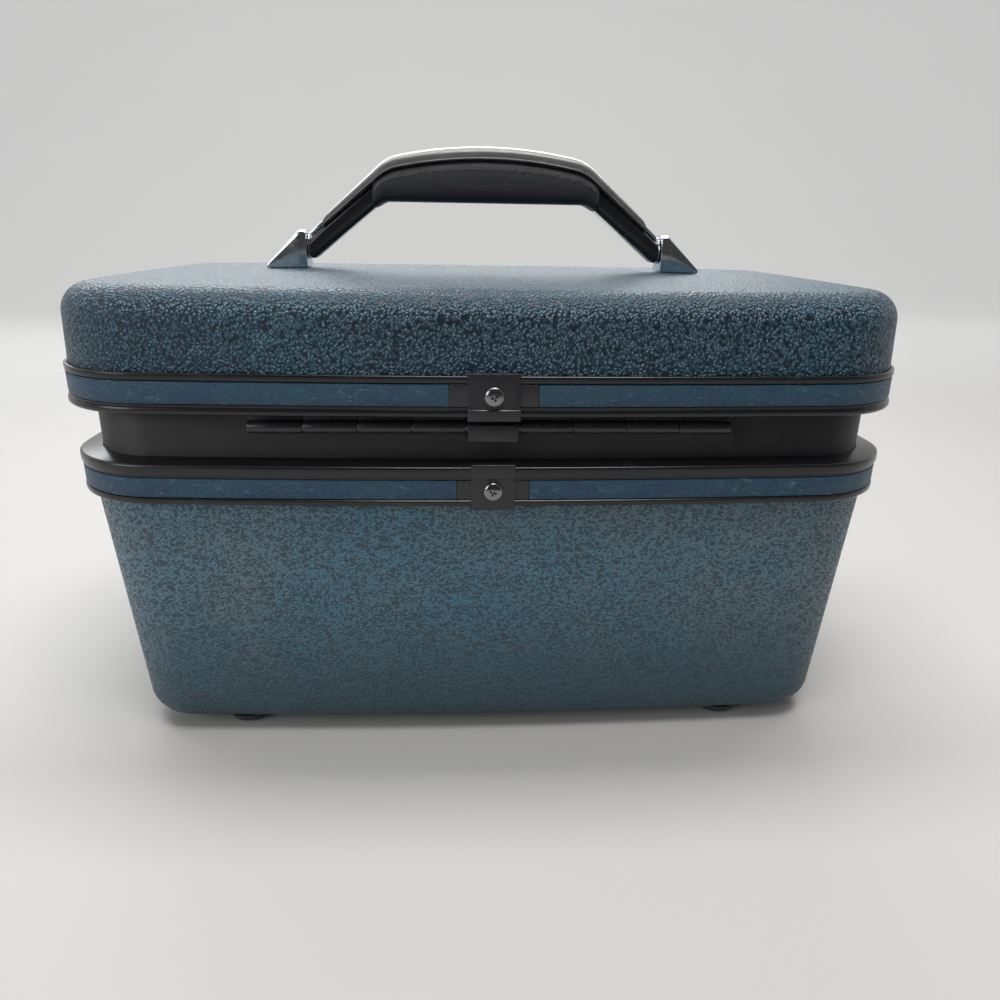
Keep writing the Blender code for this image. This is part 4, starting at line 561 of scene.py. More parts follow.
# Meshes
@dataclass(frozen=True)
class Outline:
    """Rounded rectangle on plan with gently bowed sides."""

    half_x: float = 175.5 * MM
    half_y: float = 103.0 * MM
    radius: float = 37.0 * MM
    bow_y: float = 6.5 * MM
    bow_x: float = 3.0 * MM
    corner_steps: int = 16
    side_steps: int = 16

    def bowed(self, points: np.ndarray) -> np.ndarray:
        """Draw points of the plain rounded rectangle in towards the ends of its sides.

        Args:
            points: Rows of (x, y).

        Returns:
            The bowed points.
        """
        share_x = points[:, 0] / self.half_x
        share_y = points[:, 1] / self.half_y
        return np.column_stack((points[:, 0] - self.bow_x * share_y ** 2 * share_x,
                                points[:, 1] - self.bow_y * share_x ** 2 * share_y))

    def side_y(self, inset: float, x: float) -> float:
        """Distance from the middle to the front or back at a place along X."""
        return float(self.bowed(np.array([[x, self.half_y - inset]]))[0, 1])

    def ring(self, inset: float) -> np.ndarray:
        """Points round the outline, counter-clockwise from the middle of the back.

        Args:
            inset: How far the outline is drawn inwards.

        Returns:
            The points as an array of (x, y).
        """
        reach = np.array([self.half_x - self.radius, self.half_y - self.radius])
        radius = self.radius - inset
        corners = []
        for quarter, sign in enumerate(((-1, 1), (-1, -1), (1, -1), (1, 1))):
            angles = np.radians(90.0 * (quarter + 1) + np.linspace(0.0, 90.0, self.corner_steps + 1))
            corners.append(reach * sign + radius * np.column_stack((np.cos(angles), np.sin(angles))))
        parts = []
        for corner, following in zip(corners, corners[1:] + corners[:1]):
            parts.append(corner)
            shares = np.linspace(0.0, 1.0, self.side_steps + 1)[1:-1, None]
            parts.append(corner[-1] * (1.0 - shares) + following[0] * shares)
        points = np.vstack(parts)
        half = self.side_steps // 2 - 1
        return self.bowed(np.roll(points, half + 1, axis=0))

    def open_path(self, inset: float, half_gap: float) -> np.ndarray:
        """The ring with a gap at the middle of the back.

        Args:
            inset: How far the outline is drawn inwards.
            half_gap: Half the width of the gap.

        Returns:
            The points, from one end of the gap to the other.
        """
        points = self.ring(inset)
        points = points[np.abs(points[:, 0]) + (points[:, 1] < 0.0) > half_gap]
        if points[0, 0] > 0.0:
            points = np.roll(points, -int(np.argmax(points[:, 0] < 0.0)), axis=0)
        ends = self.bowed(np.array([(-half_gap, self.half_y - inset), (half_gap, self.half_y - inset)]))
        return np.vstack((ends[:1], points, ends[1:]))


CASE = Outline()


@dataclass(frozen=True)
class FrameFace:
    """Outer face of a frame, with heights from the edge at the gap."""

    edge: float
    direction: int
    inset: float
    height: float
    bead: float
    channel: Pair
    bead_round: float = 1.2 * MM
    bead_step: float = 0.9 * MM
    channel_inset: float = 1.7 * MM
    lip_inset: float = 0.3 * MM
    lip_round: float = 0.6 * MM
    strip_gap: float = 0.3 * MM

    def level(self, height: float) -> float:
        """Place above the ground of a height on the face."""
        return self.edge + self.direction * height

    def strip_levels(self) -> list[float]:
        """Lower and upper level of what lies in the channel."""
        return sorted(self.level(height) for height in (self.channel[0] + self.strip_gap,
                                                        self.channel[1] - self.strip_gap))

    def section(self) -> list[Pair]:
        """The face from the edge at the gap to the far lip, as (inset, level)."""
        start, end = self.channel
        points = [(inset, height) for height, inset in corner_arc((0.0, 0.0), self.bead_round,
                                                                  self.bead_round, 5)]
        points += [(0.0, self.bead - self.bead_step),
                   (0.25 * self.bead_step, self.bead - 0.35 * self.bead_step),
                   (self.bead_step, self.bead), (self.bead_step, start), (self.channel_inset, start),
                   (self.channel_inset, end)]
        points += [(inset, height) for height, inset in corner_arc((end, self.lip_inset), self.lip_round,
                                                                   self.lip_round, 4)]
        points += corner_arc((self.lip_inset, self.height), self.lip_round, -self.lip_round, 4)
        return [(self.inset + inset, self.level(height)) for inset, height in points]


UPPER_FACE = FrameFace(154.1 * MM, 1, 0.0, 16.0 * MM, 3.0 * MM, (3.9 * MM, 13.1 * MM))
LOWER_FACE = FrameFace(134.2 * MM, -1, 0.9 * MM, 16.5 * MM, 4.6 * MM, (5.5 * MM, 14.0 * MM))


def link(name: str, mesh: bpy.types.Mesh) -> Piece:
    """Put a mesh into the scene as a named object."""
    made = bpy.data.objects.new(name, mesh)
    bpy.context.scene.collection.objects.link(made)
    return made


def from_bmesh(name: str, shape: bmesh.types.BMesh) -> Piece:
    """Close a bmesh into an object.

    Args:
        name: Name of the object.
        shape: The bmesh.

    Returns:
        The object.
    """
    mesh = bpy.data.meshes.new(name)
    shape.to_mesh(mesh)
    shape.free()
    return link(name, mesh)


def skin(name: str, rows: Sequence[np.ndarray], looped: bool = False) -> Piece:
    """Skin rows of closed rings, with capped ends unless the rows form a loop themselves.

    Args:
        name: Name of the object.
        rows: Rings with equal point counts.
        looped: True where the last row joins the first.

    Returns:
        The object, with its faces pointing outwards.
    """
    shape = bmesh.new()
    rings = [[shape.verts.new(point) for point in row] for row in rows]
    pairs = list(zip(rings, rings[1:]))
    if looped:
        pairs.append((rings[-1], rings[0]))
    else:
        shape.faces.new(rings[0])
        shape.faces.new(rings[-1])
    for ring, following in pairs:
        for corner in range(len(ring)):
            beside = (corner + 1) % len(ring)
            shape.faces.new((ring[corner], ring[beside], following[beside], following[corner]))
    bmesh.ops.recalc_face_normals(shape, faces=shape.faces)
    return from_bmesh(name, shape)


def level_row(outline: Outline, inset: float, height: float, scale: float = 1.0) -> np.ndarray:
    """The outline at one height, drawn in by the inset and then towards the middle."""
    points = outline.ring(inset) * scale
    return np.column_stack((points, np.full(len(points), height)))


def ring_sweep(name: str, outline: Outline, section: Sequence[Pair]) -> Piece:
    """A ring with the given section of (inset, height) all round the outline."""
    return skin(name, [level_row(outline, inset, height) for inset, height in section], looped=True)


def case_rows(levels: Sequence[Pair]) -> list[np.ndarray]:
    """Rows of the case's own outline at levels of (inset, height)."""
    return [level_row(CASE, *level) for level in levels]


def drawn(name: str, profile: Sequence[Pair], low: float, high: float,
          axis: Axis = Axis.X) -> Piece:
    """A flat profile drawn out along an axis: X takes (y, z), Y takes (x, z) and Z takes (x, y)."""
    flat = np.array(profile, dtype=float)
    return skin(name, [np.insert(flat, axis.value, at, axis=1) for at in (low, high)])


def turned_body(rings: Sequence[Pair], centre: Pair, axis: Axis, steps: int = 48) -> list[np.ndarray]:
    """Rows of a body of revolution.

    Args:
        rings: (radius, place along the axis) of each row.
        centre: The axis's place in the other two directions.
        axis: Direction of the axis.
        steps: Points of each row.

    Returns:
        The rows.
    """
    turns = [tau * step / steps for step in range(steps)]
    return [np.insert(np.array([(centre[0] + radius * cos(turn), centre[1] + radius * sin(turn))
                                for turn in turns]), axis.value, at, axis=1) for radius, at in rings]


def corner_arc(place: Pair, width: float, rise: float, steps: int) -> list[Pair]:
    """Quarter turn round a corner, from the rise away from it to the width away from it."""
    return [(place[0] + width * (1.0 - cos(turn)), place[1] + rise * (1.0 - sin(turn)))
            for turn in np.linspace(0.0, pi / 2, steps)]


def rounded_box(low: Pair, high: Pair, radius: float, steps: int = 6) -> list[Pair]:
    """Points of a rectangle with round corners.

    Args:
        low: Lowest corner.
        high: Highest corner.
        radius: Radius of the corners.
        steps: Steps round each corner.

    Returns:
        The points, counter-clockwise.
    """
    points = []
    for x, y, turn in ((high[0] - radius, low[1] + radius, -90.0), (high[0] - radius, high[1] - radius, 0.0),
                       (low[0] + radius, high[1] - radius, 90.0), (low[0] + radius, low[1] + radius, 180.0)):
        for angle in np.radians(turn + np.linspace(0.0, 90.0, steps + 1)):
            points.append((x + radius * cos(angle), y + radius * sin(angle)))
    return points


def baked(piece: Piece) -> Piece:
    """Turn a piece's modifiers into plain mesh.

    Args:
        piece: The piece.

    Returns:
        The piece.
    """
    bpy.context.view_layer.update()
    graph = bpy.context.evaluated_depsgraph_get()
    mesh = bpy.data.meshes.new_from_object(piece.evaluated_get(graph), depsgraph=graph)
    piece.modifiers.clear()
    piece.data = mesh
    return piece


def eased(piece: Piece, width: float, segments: int = 3, angle: float = 30.0) -> Piece:
    """Round a piece's sharp edges.

    Args:
        piece: The piece.
        width: Width of the bevel.
        segments: Steps across it.
        angle: Edges that turn by more than this, in degrees, are rounded.

    Returns:
        The piece.
    """
    bevel = piece.modifiers.new("eased", "BEVEL")
    bevel.width = width
    bevel.segments = segments
    bevel.limit_method = "ANGLE"
    bevel.angle_limit = radians(angle)
    bevel.use_clamp_overlap = True
    return baked(piece)


def cut(piece: Piece, *cutters: Piece) -> Piece:
    """Subtract cutters from a piece and remove them.

    Args:
        piece: The piece.
        cutters: Shapes that are taken away.

    Returns:
        The piece.
    """
    for cutter in cutters:
        boolean = piece.modifiers.new("cut", "BOOLEAN")
        boolean.operation = "DIFFERENCE"
        boolean.solver = "EXACT"
        boolean.object = cutter
    baked(piece)
    for cutter in cutters:
        bpy.data.objects.remove(cutter, do_unlink=True)
    return piece


def joined(name: str, pieces: Sequence[Piece]) -> Piece:
    """Gather several meshes into one object.

    Args:
        name: Name of the object.
        pieces: The objects.

    Returns:
        The new object.
    """
    shape = bmesh.new()
    for piece in pieces:
        shape.from_mesh(piece.data)
        bpy.data.objects.remove(piece, do_unlink=True)
    return from_bmesh(name, shape)


def moved(piece: Piece, change: Matrix) -> Piece:
    """Apply a change of place to a piece's mesh."""
    piece.data.transform(change)
    return piece


def about(point: Triple, turn: float, axis: str) -> Matrix:
    """A turn about an axis through a point."""
    there = Matrix.Translation(Vector(point))
    return there @ Matrix.Rotation(turn, 4, axis) @ there.inverted()


def dress(piece: Piece, finish: Finish, body: Body | str, *nodes: str,
          smooth: float = 35.0) -> Piece:
    """Give a piece its finish, its body and the nodes that it stands for.

    Args:
        piece: The finished mesh.
        finish: Its material.
        body: The body that it rides on.
        nodes: Solids of the frame that it replaces.
        smooth: Edges that turn by more than this, in degrees, stay sharp.

    Returns:
        The piece.
    """
    piece.data.materials.clear()
    piece.data.materials.append(finish.material())
    piece.data.shade_smooth()
    piece.data.set_sharp_from_angle(angle=radians(smooth))
    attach(piece, body.value if isinstance(body, Body) else body)
    if nodes:
        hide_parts(*nodes)
    LOG.info("%s: %d faces, %s", piece.name, len(piece.data.polygons), finish.name)
    return piece


def refinish(node: str, finish: Finish) -> None:
    """Give a solid of the frame a better material.

    Args:
        node: Name of the solid.
        finish: Its material.
    """
    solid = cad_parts[node]
    for slot in solid.material_slots:
        slot.material = finish.material()
    LOG.info("%s: kept, %s", node, finish.name)


# Repeats
def run_tree(piece: Piece, tree: bpy.types.NodeTree, values: dict) -> Piece:
    """Run a tree on a piece with the given inputs and keep the result as plain mesh.

    Args:
        piece: The object that the tree starts from.
        tree: The tree.
        values: Value of each input, by its name.

    Returns:
        The piece.
    """
    modifier = piece.modifiers.new(tree.name, "NODES")
    modifier.node_group = tree
    for item in tree.interface.items_tree:
        if item.item_type == "SOCKET" and item.in_out == "INPUT" and item.name in values:
            modifier[item.identifier] = values[item.name]
    return baked(piece)


def instance_tree(name: str, inputs: dict[str, Sequence[str]],
                  placed: Callable[[Net, dict[str, Sock]], Sock]) -> bpy.types.NodeTree:
    """Tree that places instances and gives them a material, made the first time that it is asked for.

    Args:
        name: Name of the tree.
        inputs: Names of its inputs, by the type of their socket.
        placed: Adds the nodes that place the instances, from the tree's inputs by name.

    Returns:
        The tree.
    """
    found = bpy.data.node_groups.get(name)
    if found:
        return found
    tree = bpy.data.node_groups.new(name, "GeometryNodeTree")
    for kind, labels in {"Geometry": ("Geometry",), **inputs, "Material": ("Material",)}.items():
        for label in labels:
            tree.interface.new_socket(label, in_out="INPUT", socket_type=f"NodeSocket{kind}")
    tree.interface.new_socket("Geometry", in_out="OUTPUT", socket_type="NodeSocketGeometry")
    net = Net(tree)
    source = net.node("NodeGroupInput").socket.node
    given = {socket.name: Sock(net, socket) for socket in source.outputs if socket.name}
    real = net.node("GeometryNodeRealizeInstances", None, {"Geometry": placed(net, given)})
    dressed = net.node("GeometryNodeSetMaterial", None, {"Geometry": real, "Material": given["Material"]})
    net.node("NodeGroupOutput", None, {"Geometry": dressed})
    return tree


def in_rows(net: Net, given: dict[str, Sock]) -> Sock:
    """The geometry in rows: Count along Step, and Rows along Row Step.

    Args:
        net: The tree.
        given: Its inputs by name.

    Returns:
        The instances.
    """
    line = net.node("GeometryNodeMeshLine", None,
                    {"Count": given["Count"], "Start Location": given["Start"], "Offset": given["Step"]})
    rows = net.node("GeometryNodeMeshLine", None, {"Count": given["Rows"], "Offset": given["Row Step"]})
    grid = net.node("GeometryNodeInstanceOnPoints", None, {"Points": rows, "Instance": line})
    points = net.node("GeometryNodeRealizeInstances", None, {"Geometry": grid})
    return net.node("GeometryNodeInstanceOnPoints", None, {"Points": points, "Instance": given["Geometry"]})


def repeated(piece: Piece, finish: Finish, count: int, start: Triple, step: Triple,
             rows: int = 1, row_step: Triple = (0.0, 0.0, 0.0)) -> Piece:
    """Repeat a piece in even rows.

    Args:
        piece: What is repeated.
        finish: Its material.
        count: Pieces in a row.
        start: Place of the first.
        step: From one piece to the next.
        rows: Number of rows.
        row_step: From one row to the next.

    Returns:
        The piece, repeated.
    """
    inputs = {"Int": ("Count", "Rows"), "Vector": ("Start", "Step", "Row Step")}
    tree = instance_tree("repeat in rows", inputs, in_rows)
    return run_tree(piece, tree, {"Count": count, "Start": start, "Step": step, "Rows": rows,
                                  "Row Step": row_step, "Material": finish.material()})


def on_path(net: Net, given: dict[str, Sock]) -> Sock:
    """Short threads along a path of edges at an even Pitch, sunk at their ends.

    Args:
        net: The tree.
        given: Its inputs by name.

    Returns:
        The instances.
    """
    curve = net.node("GeometryNodeMeshToCurve", None, {"Mesh": given["Geometry"]})
    points = net.node("GeometryNodeCurveToPoints", {"mode": "LENGTH"},
                      {"Curve": curve, "Length": given["Pitch"]})
    turn = Sock(net, Net.find(points.socket.node.outputs, "Rotation"))
    thread = net.node("GeometryNodeMeshUVSphere", None, {"Segments": 8, "Rings": 6, "Radius": 0.5})
    size = net.node("ShaderNodeCombineXYZ", None,
                    {"X": given["Thickness"], "Y": given["Thickness"], "Z": given["Length"]})
    return net.node("GeometryNodeInstanceOnPoints", None,
                    {"Points": points, "Instance": thread, "Rotation": turn, "Scale": size})


def stitched(name: str, path: Sequence[Triple], finish: Finish, pitch: float, length: float,
             thickness: float) -> Piece:
    """A row of stitches along a path of points.

    Args:
        name: Name of the object.
        path: Points along the seam.
        finish: Material of the thread.
        pitch: From one stitch to the next.
        length: Length of a stitch.
        thickness: Thickness of the thread.

    Returns:
        The stitches.
    """
    mesh = bpy.data.meshes.new(name)
    mesh.from_pydata([tuple(point) for point in path], [(at, at + 1) for at in range(len(path) - 1)], [])
    tree = instance_tree("stitches on a path", {"Float": ("Pitch", "Length", "Thickness")}, on_path)
    return run_tree(link(name, mesh), tree, {"Pitch": pitch, "Length": length, "Thickness": thickness,
                                             "Material": finish.material()})


def stuffed(piece: Piece, voxel: float, pressure: float, cap: float,
            held: Callable[[Vector], bool]) -> Piece:
    """Swell a padded piece by a short cloth simulation.

    Args:
        piece: The closed form of the pad.
        voxel: Size of the new mesh's faces.
        pressure: Pressure inside the pad.
        cap: How far a point may move.
        held: Tells whether the seam holds a point.

    Returns:
        The piece.
    """
    remesh = piece.modifiers.new("even faces", "REMESH")
    remesh.mode = "VOXEL"
    remesh.voxel_size = voxel
    baked(piece)
    rest = [vertex.co.copy() for vertex in piece.data.vertices]
    group = piece.vertex_groups.new(name="seam")
    group.add([at for at, point in enumerate(rest) if held(point)], 1.0, "REPLACE")
    cloth = piece.modifiers.new("cloth", "CLOTH")
    cloth.settings.use_pressure = True
    cloth.settings.uniform_pressure_force = pressure
    cloth.settings.vertex_group_mass = group.name
    cloth.settings.effector_weights.gravity = 0.0
    for at in range(1, 21):
        bpy.context.scene.frame_set(at)
    baked(piece)
    for vertex, before in zip(piece.data.vertices, rest):
        push = vertex.co - before
        if push.length > cap:
            vertex.co = before + push.normalized() * cap
    bpy.context.scene.frame_set(1)
    smooth = piece.modifiers.new("smooth", "SUBSURF")
    smooth.levels = smooth.render_levels = 1
    return baked(piece)


def arc_levels(inset: float, height: float, width: float, rise: float, steps: int) -> list[Pair]:
    """Levels along a quarter turn from a wall to a floor, with a negative rise, or to a ceiling."""
    turns = np.linspace(0.0, pi / 2, steps + 1)[1:]
    return [(inset + width * (1.0 - cos(turn)), height + rise * sin(turn)) for turn in turns]


def curl(axis: Pair, radius: float, thickness: float, root: float, below: bool = False,
         steps: int = 44) -> list[Pair]:
    """Section of a leaf rolled round a pin, as (y, z), from its root on the pin's -Y side and back.

    Args:
        axis: Place of the pin.
        radius: Outer radius of the roll.
        thickness: Thickness of the leaf.
        root: Height at which the roll meets its leaf.
        below: True where the leaf leaves the pin downwards.
        steps: Points along the roll.

    Returns:
        The points of the section.
    """
    upward = -1.0 if below else 1.0
    turns = -np.radians(np.linspace(0.0, 290.0, steps + 1))
    outer, inner = ([(axis[0] - reach * cos(turn), axis[1] + upward * reach * sin(turn))
                     for turn in turns] for reach in (radius, radius - thickness))
    return ([(axis[0] - radius, root)] + outer + inner[::-1] + [(axis[0] - radius + thickness, root)])


# Shells, frames and trims
@dataclass
class BodyShell:
    """Tapered moulded body with a rounded bottom edge, its frame and its neck."""

    wall: float = 2.4 * MM
    inset: float = 5.9 * MM
    base_inset: float = 14.2 * MM
    top: float = 130.5 * MM
    taper_top: float = 112.0 * MM
    floor: float = 5.0 * MM
    radius: float = 13.0 * MM
    flange: float = 1.9 * MM
    wall_inset: float = 3.7 * MM
    ledge_rise: float = 0.8 * MM
    neck_inset: float = 10.5 * MM
    neck_wall: float = 2.2 * MM
    neck_top: float = 153.8 * MM
    neck_round: float = 0.5 * MM
    skirt_height: float = 13.0 * MM
    skirt_jog: float = 3.0 * MM
    leaf_half: float = 95.5 * MM
    leaf_seat: float = 152.5 * MM
    leaf_inner: float = 85.3 * MM

    def levels(self, shift: float) -> list[Pair]:
        """Levels down one face, moved in by the shift.

        Args:
            shift: How far the face lies inside the outer one.

        Returns:
            The levels as (inset, height).
        """
        base = self.base_inset + shift
        radius = self.radius - shift
        return ([(self.inset + shift, self.top), (self.inset + shift, self.taper_top),
                 (base, self.floor + self.radius)]
                + arc_levels(base, self.floor + self.radius, radius, -radius, 12))

    def shell(self) -> None:
        """Make the moulded body."""
        rows = case_rows(self.levels(0.0)[::-1] + self.levels(self.wall))
        dress(skin("body_shell", rows), BODY_GRAIN, Body.CASE, "lower_shell")

    def frame_ring(self) -> None:
        """Make the frame with its ledge."""
        face = LOWER_FACE
        bottom = face.level(face.height)
        ledge_end = self.neck_inset - FIT_GAP
        ledge_top = face.edge + self.ledge_rise
        inside = [(self.inset - FIT_GAP, bottom), (self.inset - FIT_GAP, bottom + self.flange),
                  (self.wall_inset, bottom + self.flange), (self.wall_inset, face.edge - self.flange),
                  (ledge_end, ledge_top - self.flange), (ledge_end, ledge_top)]
        ring = ring_sweep("body_frame", CASE, face.section() + inside)
        dress(ring, FRAME_BLACK, Body.CASE, "lower_frame", smooth=28.0)

    def neck(self) -> None:
        """Make the recessed neck, notched for the hinge's leaf."""
        skirt = self.inset + self.wall + FIT_GAP
        jog_low = self.top - self.skirt_jog
        jog_high = LOWER_FACE.edge + self.ledge_rise - self.flange - FIT_GAP
        inner = self.neck_inset + self.neck_wall
        section = [(self.neck_inset + self.neck_round, self.neck_top),
                   (self.neck_inset + 0.3 * self.neck_round, self.neck_top - 0.3 * self.neck_round),
                   (self.neck_inset, self.neck_top - self.neck_round), (self.neck_inset, jog_high),
                   (skirt, jog_low), (skirt, self.top - self.skirt_height),
                   (skirt + self.neck_wall, self.top - self.skirt_height), (skirt + self.neck_wall, jog_low),
                   (inner, jog_high), (inner, self.neck_top - self.neck_round),
                   (inner - self.neck_round, self.neck_top)]
        ring = ring_sweep("neck", CASE, section)
        outer = CASE.half_y
        notch = drawn("neck_notch", [(self.leaf_inner, self.leaf_seat), (outer, self.leaf_seat),
                                     (outer, self.neck_top + CUT_OVERRUN),
                                     (self.leaf_inner, self.neck_top + CUT_OVERRUN)],
                      -self.leaf_half, self.leaf_half)
        dress(cut(ring, notch), NECK_BLACK, Body.CASE, "neck_collar")

    def build(self) -> None:
        """Make the body, its frame and its neck."""
        self.shell()
        self.frame_ring()
        self.neck()


@dataclass
class LidShell:
    """Lid with vertical sides, a soft shoulder and a crowned top, and its frame."""

    wall: float = 2.2 * MM
    skirt_inset: float = 3.1 * MM
    skirt_bottom: float = 157.6 * MM
    jog_low: float = 167.9 * MM
    jog_high: float = 169.2 * MM
    inset: float = 2.0 * MM
    draft: float = 0.8 * MM
    shoulder_start: float = 189.0 * MM
    shoulder_width: float = 13.5 * MM
    shoulder_top: float = 201.2 * MM
    crown: float = 3.0 * MM
    flange: float = 1.9 * MM
    inner_inset: float = 2.8 * MM
    upstand: float = 9.6 * MM
    upstand_insets: Pair = (10.5 * MM, 12.7 * MM)
    leaf_half: float = 95.5 * MM
    leaf_slot: Pair = (92.5 * MM, 94.1 * MM)
    screw_x: float = 92.5 * MM
    screw_hole: float = 2.5 * MM

    @property
    def edge_inset(self) -> float:
        """Inset at which the shoulder meets the crowned top."""
        return self.inset + self.draft + self.shoulder_width

    def surface(self, x: float, y: float) -> float:
        """Height of the outside of the crowned top.

        Args:
            x: Place along the width.
            y: Place along the depth.

        Returns:
            The height above the ground.
        """
        edge = CASE.ring(self.edge_inset)
        turns = np.arctan2(edge[:, 1], edge[:, 0])
        order = np.argsort(turns)
        reach = np.interp(atan2(y, x), turns[order], np.hypot(edge[:, 0], edge[:, 1])[order],
                          period=tau)
        return self.shoulder_top + self.crown * (1.0 - (hypot(x, y) / reach) ** 2)

    def rows(self, wall: float) -> list[np.ndarray]:
        """Rows of one face, from its lower edge to the middle of its top.

        Args:
            wall: How far the face lies inside the outer one.

        Returns:
            The rows.
        """
        start = self.inset + self.draft + wall
        levels = [(self.skirt_inset + wall, self.skirt_bottom), (self.skirt_inset + wall, self.jog_low),
                  (self.inset + wall, self.jog_high), (start, self.shoulder_start)]
        levels += arc_levels(start, self.shoulder_start, self.shoulder_width - wall,
                             self.shoulder_top - self.shoulder_start - wall, 14)
        rows = case_rows(levels)
        for share in (0.94, 0.86, 0.76, 0.64, 0.5, 0.36, 0.22, 0.1, 0.02):
            rows.append(level_row(CASE, self.edge_inset,
                                  self.shoulder_top - wall + self.crown * (1.0 - share ** 2), share))
        return rows

    def shell(self) -> None:
        """Make the lid with its two screw holes."""
        piece = skin("lid_shell", self.rows(0.0)[::-1] + self.rows(self.wall))
        low = self.shoulder_top - self.wall - CUT_OVERRUN
        high = self.shoulder_top + self.crown + CUT_OVERRUN
        holes = [skin(f"lid_hole_{side.word}", turned_body([(self.screw_hole, low), (self.screw_hole, high)],
                                                           (side.value * self.screw_x, 0.0), Axis.Z, 24))
                 for side in Side]
        dress(cut(piece, *holes), LID_GRAIN, Body.LID, "upper_shell")

    def frame_ring(self) -> None:
        """Make the lid's frame with its upstand and the slot for the hinge's leaf."""
        face = UPPER_FACE
        top = face.level(face.height)
        shelf = face.edge + self.flange
        head = face.edge + self.upstand
        outer, inner = self.upstand_insets
        seat = self.inset - FIT_GAP
        inside = [(seat, top), (seat, self.jog_high), (self.inner_inset, self.jog_low),
                  (self.inner_inset, shelf), (outer, shelf), (outer, head), (inner, head), (inner, face.edge)]
        ring = ring_sweep("lid_frame", CASE, face.section() + inside)
        near, far = self.leaf_slot
        low, high = face.edge - CUT_OVERRUN, shelf + CUT_OVERRUN
        slot = drawn("lid_frame_slot", [(near, low), (far, low), (far, high), (near, high)],
                     -self.leaf_half, self.leaf_half)
        dress(cut(ring, slot), FRAME_BLACK, Body.LID, "upper_frame", smooth=28.0)

    def build(self) -> None:
        """Make the lid and its frame."""
        self.shell()
        self.frame_ring()


